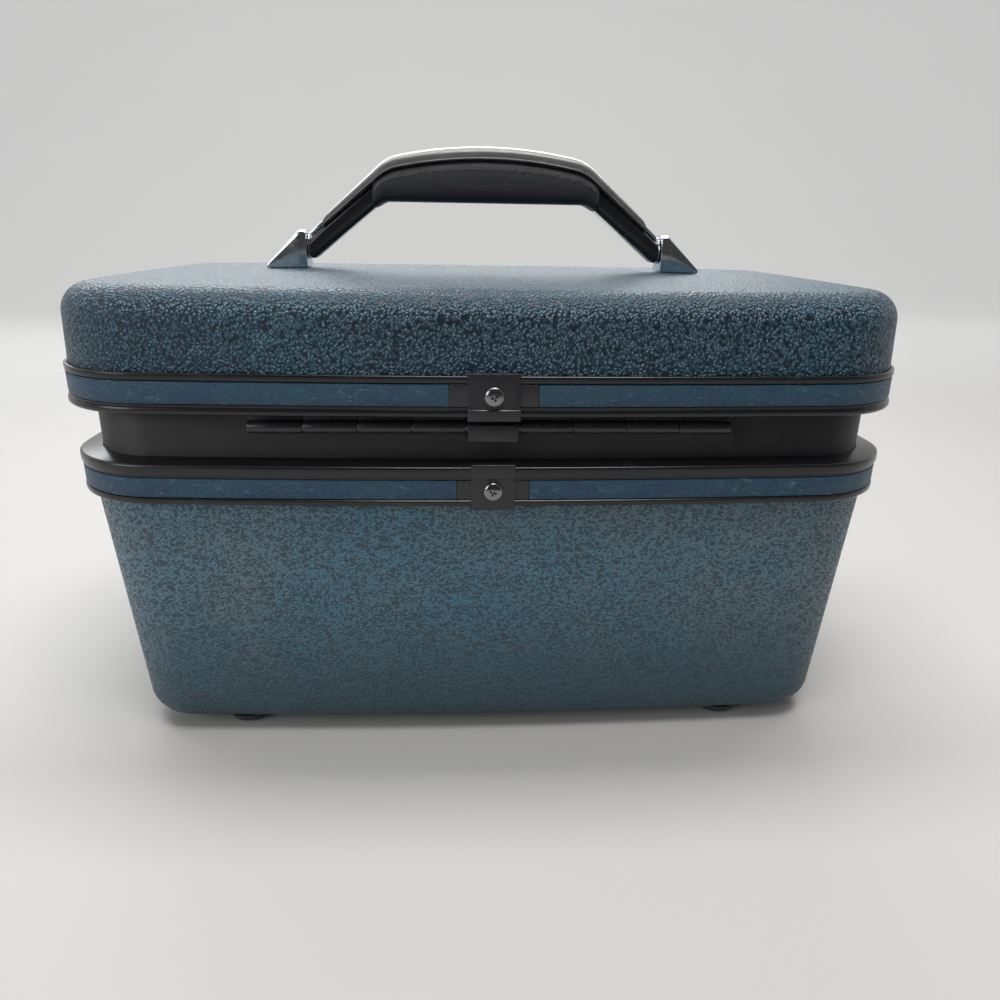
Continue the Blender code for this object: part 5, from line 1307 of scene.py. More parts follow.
@dataclass
class Trim:
    """Strip, splice plate, clip and screw of one frame."""

    prefix: str
    face: FrameFace
    body: Body
    splice_width: float
    clip_width: float
    slot_turn: float
    thickness: float = 0.8 * MM
    edge_round: float = 0.3 * MM
    end_gap: float = 0.4 * MM
    plate: float = 0.9 * MM
    clip: float = 0.9 * MM
    clip_set_back: float = 0.4 * MM
    lip_reach: float = 1.4 * MM
    head_radius: float = 3.8 * MM
    head_crown: float = 1.5 * MM
    shank_radius: float = 2.0 * MM
    plate_corner: float = 0.8 * MM
    plate_edge: float = 0.25 * MM
    clip_edge: float = 0.22 * MM
    bend_round: float = 0.3
    recess_floor: float = 0.25
    recess_arms: Pair = (0.24, 0.56)
    recess_halves: Pair = (0.07, 0.13)

    def strip(self) -> None:
        """Make the strip in the channel, open at the back."""
        inner = self.face.inset + self.face.channel_inset - FIT_GAP
        outer = inner - self.thickness
        low, high = self.face.strip_levels()
        ease = self.edge_round
        section = [(inner, low), (outer + ease, low), (outer + 0.3 * ease, low + 0.3 * ease),
                   (outer, low + ease), (outer, high - ease), (outer + 0.3 * ease, high - 0.3 * ease),
                   (outer + ease, high), (inner, high)]
        half_gap = self.splice_width / 2 + self.end_gap
        paths = []
        for inset, level in section:
            path = CASE.open_path(inset, half_gap)
            paths.append(np.column_stack((path, np.full(len(path), level))))
        rows = [np.array(station) for station in zip(*paths)]
        dress(skin(f"{self.prefix}_strip", rows), TRIM, self.body, f"{self.prefix}_trim_band")

    def splice(self) -> None:
        """Make the plate in the channel and the clip that is bent over the frame."""
        low, high = self.face.strip_levels()
        middle = (low + high) / 2
        back = CASE.side_y(self.face.inset + self.face.channel_inset, 0.0) + FIT_GAP
        half = self.splice_width / 2
        plate = drawn(f"{self.prefix}_plate", rounded_box((-half, low), (half, high), self.plate_corner, 4),
                      back, back + self.plate, Axis.Y)
        plate = eased(plate, self.plate_edge)

        side = CASE.side_y(self.face.inset, 0.0)
        rear = side + FIT_GAP
        front = rear + self.clip
        shift = self.face.bead_step - self.clip_set_back
        bead = self.face.level(self.face.bead)
        step = self.face.level(self.face.bead + shift)
        near, far = self.face.level(-FIT_GAP), self.face.level(self.face.height + FIT_GAP)
        way = self.face.direction
        lip = side - self.lip_reach
        bend = self.bend_round * self.clip
        rise = way * (self.clip - bend)
        outside = [(lip, near - way * self.clip), (front - bend, near - way * self.clip),
                   (front, near - rise), (front, bead), (front - shift, step), (front - shift, far + rise),
                   (front - shift - bend, far + way * self.clip), (lip, far + way * self.clip)]
        inside = [(lip, far), (rear - shift, far), (rear - shift, step), (rear, bead), (rear, near),
                  (lip, near)]
        clip = eased(drawn(f"{self.prefix}_clip", outside + inside, -self.clip_width / 2,
                           self.clip_width / 2), self.clip_edge)
        for piece in (plate, clip):
            hole = skin("splice_hole", turned_body([(self.shank_radius + FIT_GAP, back - CUT_OVERRUN),
                                                    (self.shank_radius + FIT_GAP, front + CUT_OVERRUN)],
                                                   (0.0, middle), Axis.Y, 32))
            cut(piece, hole)
        dress(plate, PLATE_BLACK, self.body, f"{self.prefix}_splice_plate")
        dress(clip, PLATE_BLACK, self.body, f"{self.prefix}_splice_clip")
        self.screw(back, front - shift + FIT_GAP, middle)

    def screw(self, back: float, seat: float, middle: float) -> None:
        """Make the domed screw with its cross recess.

        Args:
            back: Inner end of the shank.
            seat: Underside of the head.
            middle: Height of the screw's axis.
        """
        reach = self.head_radius
        rings = [(self.shank_radius, back), (self.shank_radius, seat), (0.94 * reach, seat),
                 (reach, seat + 0.12 * reach)]
        for turn in np.linspace(0.0, pi / 2, 9)[:-1]:
            rings.append((reach * cos(turn),
                          seat + 0.16 * reach + self.head_crown * sin(turn) * 0.9))
        head = skin(f"{self.prefix}_screw", turned_body(rings, (0.0, middle), Axis.Y, 64))
        levels = (seat + self.recess_floor * self.head_crown, seat + self.head_crown + CUT_OVERRUN)
        rows = []
        for at, arm_share, half_share in zip(levels, self.recess_arms, self.recess_halves):
            arm, wide = arm_share * reach, half_share * reach
            corner = [(wide, -arm), (wide, -wide), (arm, -wide)]
            cross = []
            for _ in range(4):
                cross += corner
                corner = [(-v, u) for u, v in corner]
            rows.append(np.array([(u, at, middle + v) for u, v in cross]))
        recess = moved(skin("screw_recess", rows), about((0.0, 0.0, middle), self.slot_turn, "Y"))
        dress(cut(head, recess), BRIGHT_SCREW, self.body, f"{self.prefix}_splice_screw", smooth=30.0)

    def build(self) -> None:
        """Make the strip and what covers its open ends."""
        self.strip()
        self.splice()


# Hinge
@dataclass
class PianoHinge:
    """Two combed leaves rolled round one pin, with a tab over the middle knuckle."""

    knuckles: int = 9
    length: float = 190.4 * MM
    axis: Pair = (95.3 * MM, 148.6 * MM)
    radius: float = 2.5 * MM
    metal: float = 1.0 * MM
    end_gap: float = 0.35 * MM
    pin_radius: float = 1.2 * MM
    upper_strip: Pair = (154.4 * MM, 162.8 * MM)
    neck_top: float = 153.8 * MM
    lower_plane: float = 87.3 * MM
    lower_drop: float = 11.0 * MM
    tab_width: float = 19.6 * MM
    tab_wall: float = 1.0 * MM
    tab_edge: float = 0.35 * MM
    roll_edge: float = 0.15 * MM
    tab_rise: float = 1.7 * MM
    tab_drop: float = 5.4 * MM
    neck_side: float = 92.8 * MM

    @property
    def pitch(self) -> float:
        """Length of one cell."""
        return self.length / self.knuckles

    def rolls(self, name: str, root: float, first: int, count: int) -> Piece:
        """Every other knuckle from the first cell on.

        Args:
            name: Name of the piece.
            root: Height at which the rolls meet their leaf.
            first: The first cell.
            count: How many knuckles there are.

        Returns:
            The knuckles as one mesh.
        """
        width = self.pitch - self.end_gap
        roll = eased(drawn(name, curl(self.axis, self.radius, self.metal, root), 0.0, width),
                     self.roll_edge, 2, 60.0)
        start = -self.length / 2 + first * self.pitch + self.end_gap / 2
        return repeated(roll, PLATE_BLACK, count, (start, 0.0, 0.0), (2 * self.pitch, 0.0, 0.0))

    def build(self) -> None:
        """Make the leaves, the pin and the tab."""
        half = self.length / 2
        inner = self.axis[0] - self.radius
        outer = inner + self.metal
        low, high = self.upper_strip
        strip = drawn("upper_strip", [(inner, low), (outer, low), (outer, high), (inner, high)], -half, half)
        upper = joined("hinge_upper", [self.rolls("upper_rolls", low, 1, self.knuckles // 2), strip])
        dress(upper, PLATE_BLACK, Body.LID, "hinge_upper_leaf")

        under = self.neck_top - self.metal
        plane = self.lower_plane
        foot = self.neck_top - self.lower_drop
        leaf = drawn("lower_strip", [(plane, self.neck_top), (plane, foot), (plane + self.metal, foot),
                                     (plane + self.metal, under), (outer, under), (outer, self.neck_top)],
                     -half, half)
        lower = joined("hinge_lower", [self.rolls("lower_rolls", under, 0, self.knuckles // 2 + 1), leaf])
        dress(lower, PLATE_BLACK, Body.CASE, "hinge_lower_leaf")

        rings = [(0.7 * self.pin_radius, -half), (self.pin_radius, -half + 0.3 * self.pin_radius),
                 (self.pin_radius, half - 0.3 * self.pin_radius), (0.7 * self.pin_radius, half)]
        dress(skin("hinge_rod", turned_body(rings, self.axis, Axis.X, 24)), STEEL, Body.CASE, "hinge_pin")

        back = self.axis[0] + self.radius + FIT_GAP
        front = back + self.tab_wall
        top = self.axis[1] + self.tab_rise
        bottom = self.axis[1] - self.tab_drop
        shelf = self.axis[1] - self.radius - FIT_GAP
        profile = [(back, top), (front, top), (front, bottom + self.tab_wall / 2),
                   (front - self.tab_wall / 2, bottom), (self.neck_side, bottom), (self.neck_side, shelf),
                   (back, shelf)]
        tab = drawn("hinge_tab", profile, -self.tab_width / 2, self.tab_width / 2)
        dress(eased(tab, self.tab_edge), PLATE_BLACK, Body.CASE, "hinge_centre_tab")


# Handle
def rounded_chain(points: Sequence[Pair], radii: Sequence[float], steps: int = 14) -> np.ndarray:
    """A run of (x, z) points whose inner corners are rounded to the given radii."""
    corners = np.array(points, dtype=float)
    chain = [corners[:1]]
    shares = np.linspace(0.0, 1.0, steps + 1)[:, None]
    for before, corner, after, radius in zip(corners, corners[1:], corners[2:], radii):
        way_in = (before - corner) / np.linalg.norm(before - corner)
        way_out = (after - corner) / np.linalg.norm(after - corner)
        reach = radius / tan(acos(float(way_in @ way_out)) / 2)
        start, end = corner + way_in * reach, corner + way_out * reach
        chain.append(start * (1.0 - shares) ** 2 + corner * 2.0 * shares * (1.0 - shares) + end * shares ** 2)
    return np.vstack(chain + [corners[-1:]])


@dataclass
class Handle:
    """Handle with two arms, a padded grip, a top cover and bright tongues, between two wedge posts."""

    lid: LidShell
    axis_height: float = 213.3 * MM
    top: float = 258.0 * MM
    top_drop: float = 5.2 * MM
    knee_x: float = 46.0 * MM
    knee_round: float = 15.0 * MM
    end_x: float = 82.8 * MM
    end_top: float = 220.9 * MM
    under: float = 233.9 * MM
    under_knee_x: float = 47.5 * MM
    under_round: float = 5.0 * MM
    end_under: float = 206.2 * MM
    grip_half_length: float = 53.0 * MM
    grip_half_width: float = 10.6 * MM
    grip_round: float = 3.8 * MM
    arm_half_width: float = 6.8 * MM
    arm_round: float = 3.0 * MM
    arm_overlap: float = 1.4 * MM
    spine_half_width: float = 5.6 * MM
    spine_height: float = 7.6 * MM
    spine_drop: float = 1.0 * MM
    cover_height: float = 6.0 * MM
    cover_arm_height: float = 4.0 * MM
    cover_half_width: float = 9.2 * MM
    cover_edge: float = 2.4 * MM
    cover_bead: float = 0.42 * MM
    cover_end_x: float = 76.5 * MM
    tongue_half_width: float = 4.6 * MM
    tongue_thickness: float = 2.4 * MM
    stitch_drop: float = 3.9 * MM
    post_inner_x: float = 84.2 * MM
    post_toe_x: float = 103.8 * MM
    post_top: float = 220.4 * MM
    post_top_length: float = 3.4 * MM
    post_toe_height: float = 1.4 * MM
    post_half_width: float = 7.6 * MM
    post_toe_half_width: float = 5.4 * MM
    station: float = 1.8 * MM
    spine_round: float = 1.2 * MM
    pad_end: float = 2.2 * MM
    pad_end_rise: float = 0.9 * MM
    pad_end_draw: float = 1.2 * MM
    pad_voxel: float = 1.4 * MM
    pad_swell: float = 0.35 * MM
    pad_held: float = 1.5 * MM
    stitch_margin: float = 3.0 * MM
    stitch_proud: float = 0.1 * MM
    stitch_pitch: float = 2.6 * MM
    stitch_length: float = 1.9 * MM
    thread_width: float = 0.42 * MM
    cover_end: float = 1.6 * MM
    tongue_round: float = 0.8 * MM
    tongue_edge: float = 0.3 * MM
    post_edge: float = 0.9 * MM
    post_rounds: Pair = (0.45 * MM, 1.6 * MM)
    flange_radius: float = 6.4 * MM
    flange_bore: float = 2.4 * MM
    flange_faces: Pair = (83.1 * MM, 83.7 * MM)
    flange_round: float = 0.15 * MM
    flange_edge: float = 0.05 * MM
    chains: tuple[np.ndarray, ...] = field(init=False)

    def __post_init__(self) -> None:
        """Work out the handle's upper and lower outline."""
        upper = rounded_chain([(0.0, self.top), (self.knee_x, self.top - self.top_drop),
                               (self.end_x, self.end_top)], [self.knee_round])
        lower = rounded_chain([(0.0, self.under), (self.under_knee_x, self.under),
                               (self.end_x, self.end_under)], [self.under_round])
        self.chains = (upper, lower)

    def top_at(self, x: float) -> float:
        """Height of the top, crowned between the knees."""
        chain = self.chains[0]
        crown = self.top_drop / 4 * max(0.0, 1.0 - ((2 * abs(x) - self.knee_x) / self.knee_x) ** 2)
        return float(np.interp(abs(x), chain[:, 0], chain[:, 1])) + crown

    def under_at(self, x: float) -> float:
        """Height of the underside, which turns up at the end of the arm."""
        chain = self.chains[1]
        last = max(0.0, abs(x) - self.end_x + self.arm_round)
        rise = self.arm_round - sqrt(max(0.0, self.arm_round ** 2 - last ** 2))
        return float(np.interp(abs(x), chain[:, 0], chain[:, 1])) + rise

    def arm_share(self, x: float) -> float:
        """How far along an arm a place lies, from the knee to the cover's end."""
        return min(1.0, max(0.0, (abs(x) - self.knee_x) / (self.cover_end_x - self.knee_x)))

    def seam_at(self, x: float) -> float:
        """Height of the seam under the cover."""
        thinning = (self.cover_height - self.cover_arm_height) * self.arm_share(x)
        return self.top_at(x) - self.cover_height + thinning

    def stations(self, low: float, high: float) -> np.ndarray:
        """Even places along X."""
        return np.linspace(low, high, max(2, round((high - low) / self.station) + 1))

    def core(self) -> None:
        """Make the spine and the arms."""
        arm_start = self.grip_half_length - self.arm_overlap

        def section(x: float) -> np.ndarray:
            """Section at a place: slim in the grip and full on the arms."""
            if abs(x) < arm_start:
                top = self.seam_at(x) - self.spine_drop
                flat = rounded_box((-self.spine_half_width, top - self.spine_height),
                                   (self.spine_half_width, top), self.spine_round)
            else:
                flat = rounded_box((-self.arm_half_width, self.under_at(x)),
                                   (self.arm_half_width, self.seam_at(x) - FIT_GAP), self.arm_round)
            return np.insert(np.array(flat), 0, x, axis=1)

        last = arm_start - STATION_GAP
        inner = self.stations(-last, last)
        arm = np.concatenate((self.stations(arm_start, self.end_x - self.arm_round)[:-1],
                              self.end_x - self.arm_round
                              + self.arm_round * np.sin(np.linspace(0.0, pi / 2, 7))))
        rows = [section(x) for x in (*(-arm[::-1]), *inner, *arm)]
        dress(skin("handle_arms", rows), ARM_GLOSS, Body.HANDLE, "handle_core")

    def pad_section(self, x: float, fullness: float) -> np.ndarray:
        """Section of the pad below the seam, drawn in towards its ends.

        Args:
            x: Place along the grip.
            fullness: 1 where the pad is full and 0 at its ends.

        Returns:
            The row of points.
        """
        top = self.seam_at(x) - FIT_GAP
        under = self.under_at(x) + self.pad_end_rise * (1.0 - fullness)
        half = self.grip_half_width - self.pad_end_draw * (1.0 - fullness)
        flat = np.array(rounded_box((-half, under), (half, top), self.grip_round, 9))
        middle = (top + under) / 2
        upper = flat[:, 1] > middle
        flat[upper, 0] *= 1.0 - 0.1 * ((flat[upper, 1] - middle) / (top - middle)) ** 2
        return np.insert(flat, 0, x, axis=1)

    def grip(self) -> None:
        """Make the padded grip with its stitched seams."""
        reach = self.grip_half_length
        rows = []
        for x in self.stations(-reach, reach):
            near_end = max(0.0, 1.0 - (reach - abs(x)) / self.pad_end)
            rows.append(self.pad_section(x, sqrt(max(0.0, 1.0 - near_end ** 2))))
        pad = stuffed(skin("grip_pad", rows), voxel=self.pad_voxel, pressure=3.0, cap=self.pad_swell,
                      held=lambda point: point.z > self.seam_at(point.x) - self.pad_held)
        dress(pad, GRIP_LEATHER, Body.HANDLE, "handle_grip", smooth=70.0)
        for side in (-1, 1):
            path = []
            for x in self.stations(self.stitch_margin - reach, reach - self.stitch_margin):
                drop = self.seam_at(x) - FIT_GAP - self.stitch_drop
                path.append((x, side * (self.grip_half_width + self.stitch_proud), drop))
            thread = stitched(f"grip_stitches_{'back' if side > 0 else 'front'}", path, GRIP_THREAD,
                              self.stitch_pitch, self.stitch_length, self.thread_width)
            dress(thread, GRIP_THREAD, Body.HANDLE)

    def cover(self) -> None:
        """Make the crowned cover along the top."""
        rows = []
        for x in self.stations(-self.cover_end_x, self.cover_end_x):
            half = self.cover_half_width + (self.arm_half_width - self.cover_half_width) * self.arm_share(x)
            low = self.seam_at(x)
            end = max(0.0, 1.0 - (self.cover_end_x - abs(x)) / self.cover_end)
            shrink = sqrt(max(0.0, 1.0 - end ** 2)) * 0.45 + 0.55
            edge = low + self.cover_edge * shrink
            rise = (self.top_at(x) - low) * shrink - self.cover_edge * shrink
            bead = self.cover_bead * shrink
            round_bead = [(half + bead * cos(turn), low + bead + bead * sin(turn))
                          for turn in np.linspace(-pi / 2, pi / 2, 7)]
            flat = round_bead + [(half, edge)]
            flat += [(half * cos(turn), edge + rise * sin(turn) ** 0.9)
                     for turn in np.linspace(0.0, pi, 25)[1:-1]]
            flat += [(-half, edge)] + [(-y, z) for y, z in round_bead[::-1]]
            rows.append(np.insert(np.array(flat), 0, x, axis=1))
        dress(skin("top_cover", rows), HANDLE_GLOSS, Body.HANDLE, "handle_cover", smooth=50.0)

    def tongue(self, side: Side) -> None:
        """Make the bright tongue under one end of the cover.

        Args:
            side: End of the handle.
        """
        rows = []
        for x in (self.cover_end_x + FIT_GAP, self.end_x - 2 * FIT_GAP):
            low = self.seam_at(x)
            flat = rounded_box((-self.tongue_half_width, low),
                               (self.tongue_half_width, low + self.tongue_thickness), self.tongue_round)
            rows.append(np.insert(np.array(flat), 0, side.value * x, axis=1))
        piece = eased(skin(f"tongue_{side.word}", rows), self.tongue_edge)
        dress(piece, CHROME, Body.HANDLE, f"handle_tongue_{side.word}")

    def post(self, side: Side) -> None:
        """Make one wedge post, seated on the crowned lid.

        Args:
            side: End of the handle.
        """
        apex = self.post_inner_x + self.post_top_length
        toe_top = self.lid.surface(self.post_toe_x, 0.0) + FIT_GAP + self.post_toe_height
        rows = []
        for x in np.concatenate((np.linspace(self.post_inner_x, apex, 5)[:-1],
                                 np.linspace(apex, self.post_toe_x, 12))):
            share = max(0.0, (x - apex) / (self.post_toe_x - apex))
            top = self.post_top + (toe_top - self.post_top) * share
            half = self.post_half_width + (self.post_toe_half_width - self.post_half_width) * share
            round_off = self.post_rounds[0] + self.post_rounds[1] * (1.0 - share)
            sides = [(half, self.lid.surface(x, half) + FIT_GAP)]
            sides += corner_arc((half, top), -round_off, -round_off, 7)
            left = [(-y, z) for y, z in sides[::-1]]
            rows.append(np.insert(np.array(sides + left + [(0.0, self.lid.surface(x, 0.0) + FIT_GAP)]), 0,
                                  side.value * x, axis=1))
        piece = eased(skin(f"post_{side.word}", rows), self.post_edge, 4, 32.0)
        dress(piece, CHROME, Body.LID, f"handle_post_{side.word}", smooth=40.0)

    def flange(self, side: Side) -> None:
        """Make the thin flange between an arm and its post.

        Args:
            side: End of the handle.
        """
        near, far = (side.value * at for at in self.flange_faces)
        reach, bore = self.flange_radius, self.flange_bore
        shoulder = reach - self.flange_round
        rings = [(bore, near), (shoulder, near), (reach, (near + far) / 2), (shoulder, far), (bore, far)]
        rows = turned_body(rings, (0.0, self.axis_height), Axis.X, 40)
        dress(eased(skin(f"flange_{side.word}", rows), self.flange_edge), CHROME, Body.LID)

    def build(self) -> None:
        """Make the handle and its posts."""
        self.core()
        self.grip()
        self.cover()
        for side in Side:
            self.tongue(side)
            self.post(side)
            self.flange(side)
            refinish(f"handle_pin_{side.word}", STEEL)
            refinish(f"handle_screw_{side.word}", STEEL)
            refinish(f"handle_backing_{side.word}", STEEL)


# Interior
@dataclass
class Interior:
    """Linings, pockets, tray and mirror."""

    inset: float = 13.0 * MM
    base_inset: float = 16.9 * MM
    taper_top: float = 112.0 * MM
    floor: float = 7.7 * MM
    radius: float = 10.3 * MM
    wall: float = 1.4 * MM
    rim: float = 139.4 * MM
    welt_height: float = 6.0 * MM
    welt_width: float = 5.6 * MM
    lid_inset: float = 10.8 * MM
    lid_start: float = 164.0 * MM
    lid_ceiling: float = 194.4 * MM
    lid_shoulder: float = 10.0 * MM
    pocket_length: float = 118.0 * MM
    pocket_levels: Pair = (26.0 * MM, 88.0 * MM)
    pocket_folds: int = 9
    pocket_fold_depth: float = 2.4 * MM
    pocket_bag: float = 7.0 * MM
    pocket_cloth: float = 1.0 * MM
    pocket_back_gap: float = 0.4 * MM
    mirror_half: Pair = (120.0 * MM, 70.0 * MM)
    mirror_corner: float = 22.0 * MM
    mirror_seat: float = 194.1 * MM
    mirror_rim: float = 8.0 * MM
    mirror_lip: float = 4.0 * MM
    mirror_lip_height: float = 1.6 * MM
    mirror_plate: float = 2.2 * MM
    tray_inset: float = 16.6 * MM
    tray_flange: float = 2.4 * MM
    tray_top: float = 141.3 * MM
    tray_flange_height: float = 1.6 * MM
    tray_floor: float = 103.3 * MM
    tray_draft: float = 2.4 * MM
    tray_wall: float = 1.8 * MM
    tray_base_radius: float = 4.0 * MM
    tray_divide: float = -2.93 * MM
    tray_half: Pair = (149.3 * MM, 73.3 * MM)
    tray_back_wells: int = 3
    well_corner: float = 9.0 * MM
    well_draft: float = 1.6 * MM
    well_round: float = 4.0 * MM
    well_least: float = 2.0 * MM
    tray_edge: float = 0.4 * MM
    rim_round: float = 1.4 * MM
    lip_round: float = 0.8 * MM
    lip_corner: float = 0.24 * MM

    def body_levels(self, shift: float) -> list[Pair]:
        """Levels down one face of the body lining.

        Args:
            shift: How far the face lies inside the outer one.

        Returns:
            The levels as (inset, height).
        """
        base = self.base_inset + shift
        radius = self.radius - shift
        return ([(self.inset + shift, self.taper_top), (base, self.floor + self.radius)]
                + arc_levels(base, self.floor + self.radius, radius, -radius, 8))

    def body_lining(self) -> None:
        """Make the body's liner with its padded welt."""
        outer = [(self.inset, self.rim - self.welt_height / 4)] + self.body_levels(0.0)
        half_width, half_height = self.welt_width / 2, self.welt_height / 2
        welt = [(self.inset + half_width - half_width * cos(turn),
                 self.rim - half_height + half_height * sin(turn))
                for turn in np.linspace(0.5 * pi / 2, pi + 0.35 * pi, 14)]
        inner = welt + [(self.inset + self.wall, self.rim - self.welt_height)] + self.body_levels(self.wall)
        liner = skin("body_liner", case_rows(outer[::-1] + inner))
        dress(liner, CLOTH, Body.CASE, "body_lining", smooth=60.0)

    def lid_lining(self) -> None:
        """Make the lid's liner."""
        rows = []
        for shift, order in ((0.0, -1), (self.wall, 1)):
            reach = self.lid_shoulder - shift
            turn = self.lid_ceiling + self.wall - shift - reach
            levels = [(self.lid_inset + shift, self.lid_start), (self.lid_inset + shift, turn)]
            levels += arc_levels(self.lid_inset + shift, turn, reach, reach, 8)
            rows += case_rows(levels[::order])
        dress(skin("lid_liner", rows), CLOTH, Body.LID, "lid_lining", smooth=60.0)

    def pocket(self, side: Side) -> None:
        """Make one gathered pocket, drawn in under a band of elastic.

        Args:
            side: End of the case.
        """
        low, high = self.pocket_levels
        lean = (self.base_inset - self.inset) / (self.taper_top - self.floor - self.radius)
        across = np.linspace(0.0, 1.0, self.pocket_folds * 12 + 1)
        y = self.pocket_length * (across - 0.5)
        shape_rng = np.random.default_rng(7 + side.value)
        drift = shape_rng.normal(0.0, 0.16, self.pocket_folds + 1)
        phase = np.interp(across, np.linspace(0.0, 1.0, self.pocket_folds + 1), drift)
        rows = []
        for share in np.linspace(0.0, 1.0, 25):
            height = low + (high - low) * share
            inset = self.inset + self.wall + lean * (self.taper_top - height) + self.pocket_back_gap
            face = CASE.bowed(np.column_stack((np.full(len(y), CASE.half_x - inset), y)))[:, 0]
            bag = self.pocket_bag * cos(pi / 2 * share) * sin(pi * share)
            fold = self.pocket_fold_depth * (0.35 + 0.65 * share)
            if share > 0.9:
                fold *= 1.0 - 0.45 * (share - 0.9) / 0.1
            wave = 0.5 - 0.5 * np.cos(tau * (self.pocket_folds * across + phase))
            edge = np.sqrt(np.maximum(np.sin(pi * across), 0.0))
            back = face - fold * wave - bag * edge
            ring = [np.column_stack((side.value * x, ys, np.full(len(ys), height)))
                    for x, ys in ((back - self.pocket_cloth, y), (back[::-1], y[::-1]))]
            rows.append(np.vstack(ring))
        piece = skin(f"gathered_pocket_{side.word}", rows)
        dress(piece, CLOTH, Body.CASE, f"pocket_{side.word}", smooth=60.0)

    def tray(self) -> None:
        """Make the tray with one long well and a row of short ones."""
        rest = self.tray_top - self.tray_flange_height
        wall = self.tray_inset + self.tray_flange
        base = wall + self.tray_draft
        levels = [(self.tray_inset + self.tray_edge, self.tray_top),
                  (self.tray_inset, self.tray_top - self.tray_edge),
                  (self.tray_inset, rest), (wall, rest), (base, self.tray_floor + self.tray_base_radius)]
        levels += arc_levels(base, self.tray_floor + self.tray_base_radius, self.tray_base_radius,
                             -self.tray_base_radius, 6)
        piece = skin("tray_body", case_rows(levels))
        half_x, half_y = self.tray_half
        gap = self.tray_wall / 2
        cells = [(-half_x, half_x, -half_y, self.tray_divide - gap)]
        width = (2 * half_x - self.tray_wall * (self.tray_back_wells - 1)) / self.tray_back_wells
        for well in range(self.tray_back_wells):
            left = -half_x + well * (width + self.tray_wall)
            cells.append((left, left + width, self.tray_divide + gap, half_y))
        cutters = []
        deep = self.tray_floor + self.tray_wall
        for left, right, near, far in cells:
            rows = []
            for height, draft in self.well_levels(deep):
                flat = rounded_box((left + draft, near + draft), (right - draft, far - draft),
                                   max(self.well_corner - draft, self.well_least), 8)
                rows.append(np.insert(np.array(flat), 2, height, axis=1))
            cutters.append(skin("tray_well", rows))
        dress(cut(piece, *cutters), TRAY_SHEET, Body.TRAY, "tray", smooth=40.0)

    def well_levels(self, deep: float) -> list[Pair]:
        """Levels of a well, as (height, draft), down to its rounded floor."""
        arc = corner_arc((self.well_draft, deep), self.well_round, self.well_round, 7)
        return [(self.tray_top + CUT_OVERRUN, 0.0)] + [(height, draft) for draft, height in arc]

    def mirror(self) -> None:
        """Make the mirror's rim and finish its plate."""
        rim = Outline(*self.mirror_half, self.mirror_corner, 0.0, 0.0, 12, 4)
        lip_top = self.mirror_seat - self.mirror_plate - FIT_GAP
        bottom = lip_top - self.mirror_lip_height
        rabbet = self.mirror_rim - FIT_GAP
        lip = self.mirror_rim + self.mirror_lip
        section = [(0.0, self.mirror_seat)] + corner_arc((0.0, bottom), self.rim_round, self.rim_round, 6)
        section += [(lip - self.lip_round, bottom), (lip - self.lip_corner, bottom + self.lip_corner),
                    (lip, bottom + self.lip_round),
                    (lip, lip_top), (rabbet, lip_top), (rabbet, self.mirror_seat)]
        dress(ring_sweep("mirror_rim", rim, section), RIM_BLACK, Body.LID, "mirror_frame")
        refinish("mirror", MIRROR)

    def build(self) -> None:
        """Make the linings, the pockets, the tray and the mirror."""
        self.body_lining()
        self.lid_lining()
        for side in Side:
            self.pocket(side)
        self.tray()
        self.mirror()


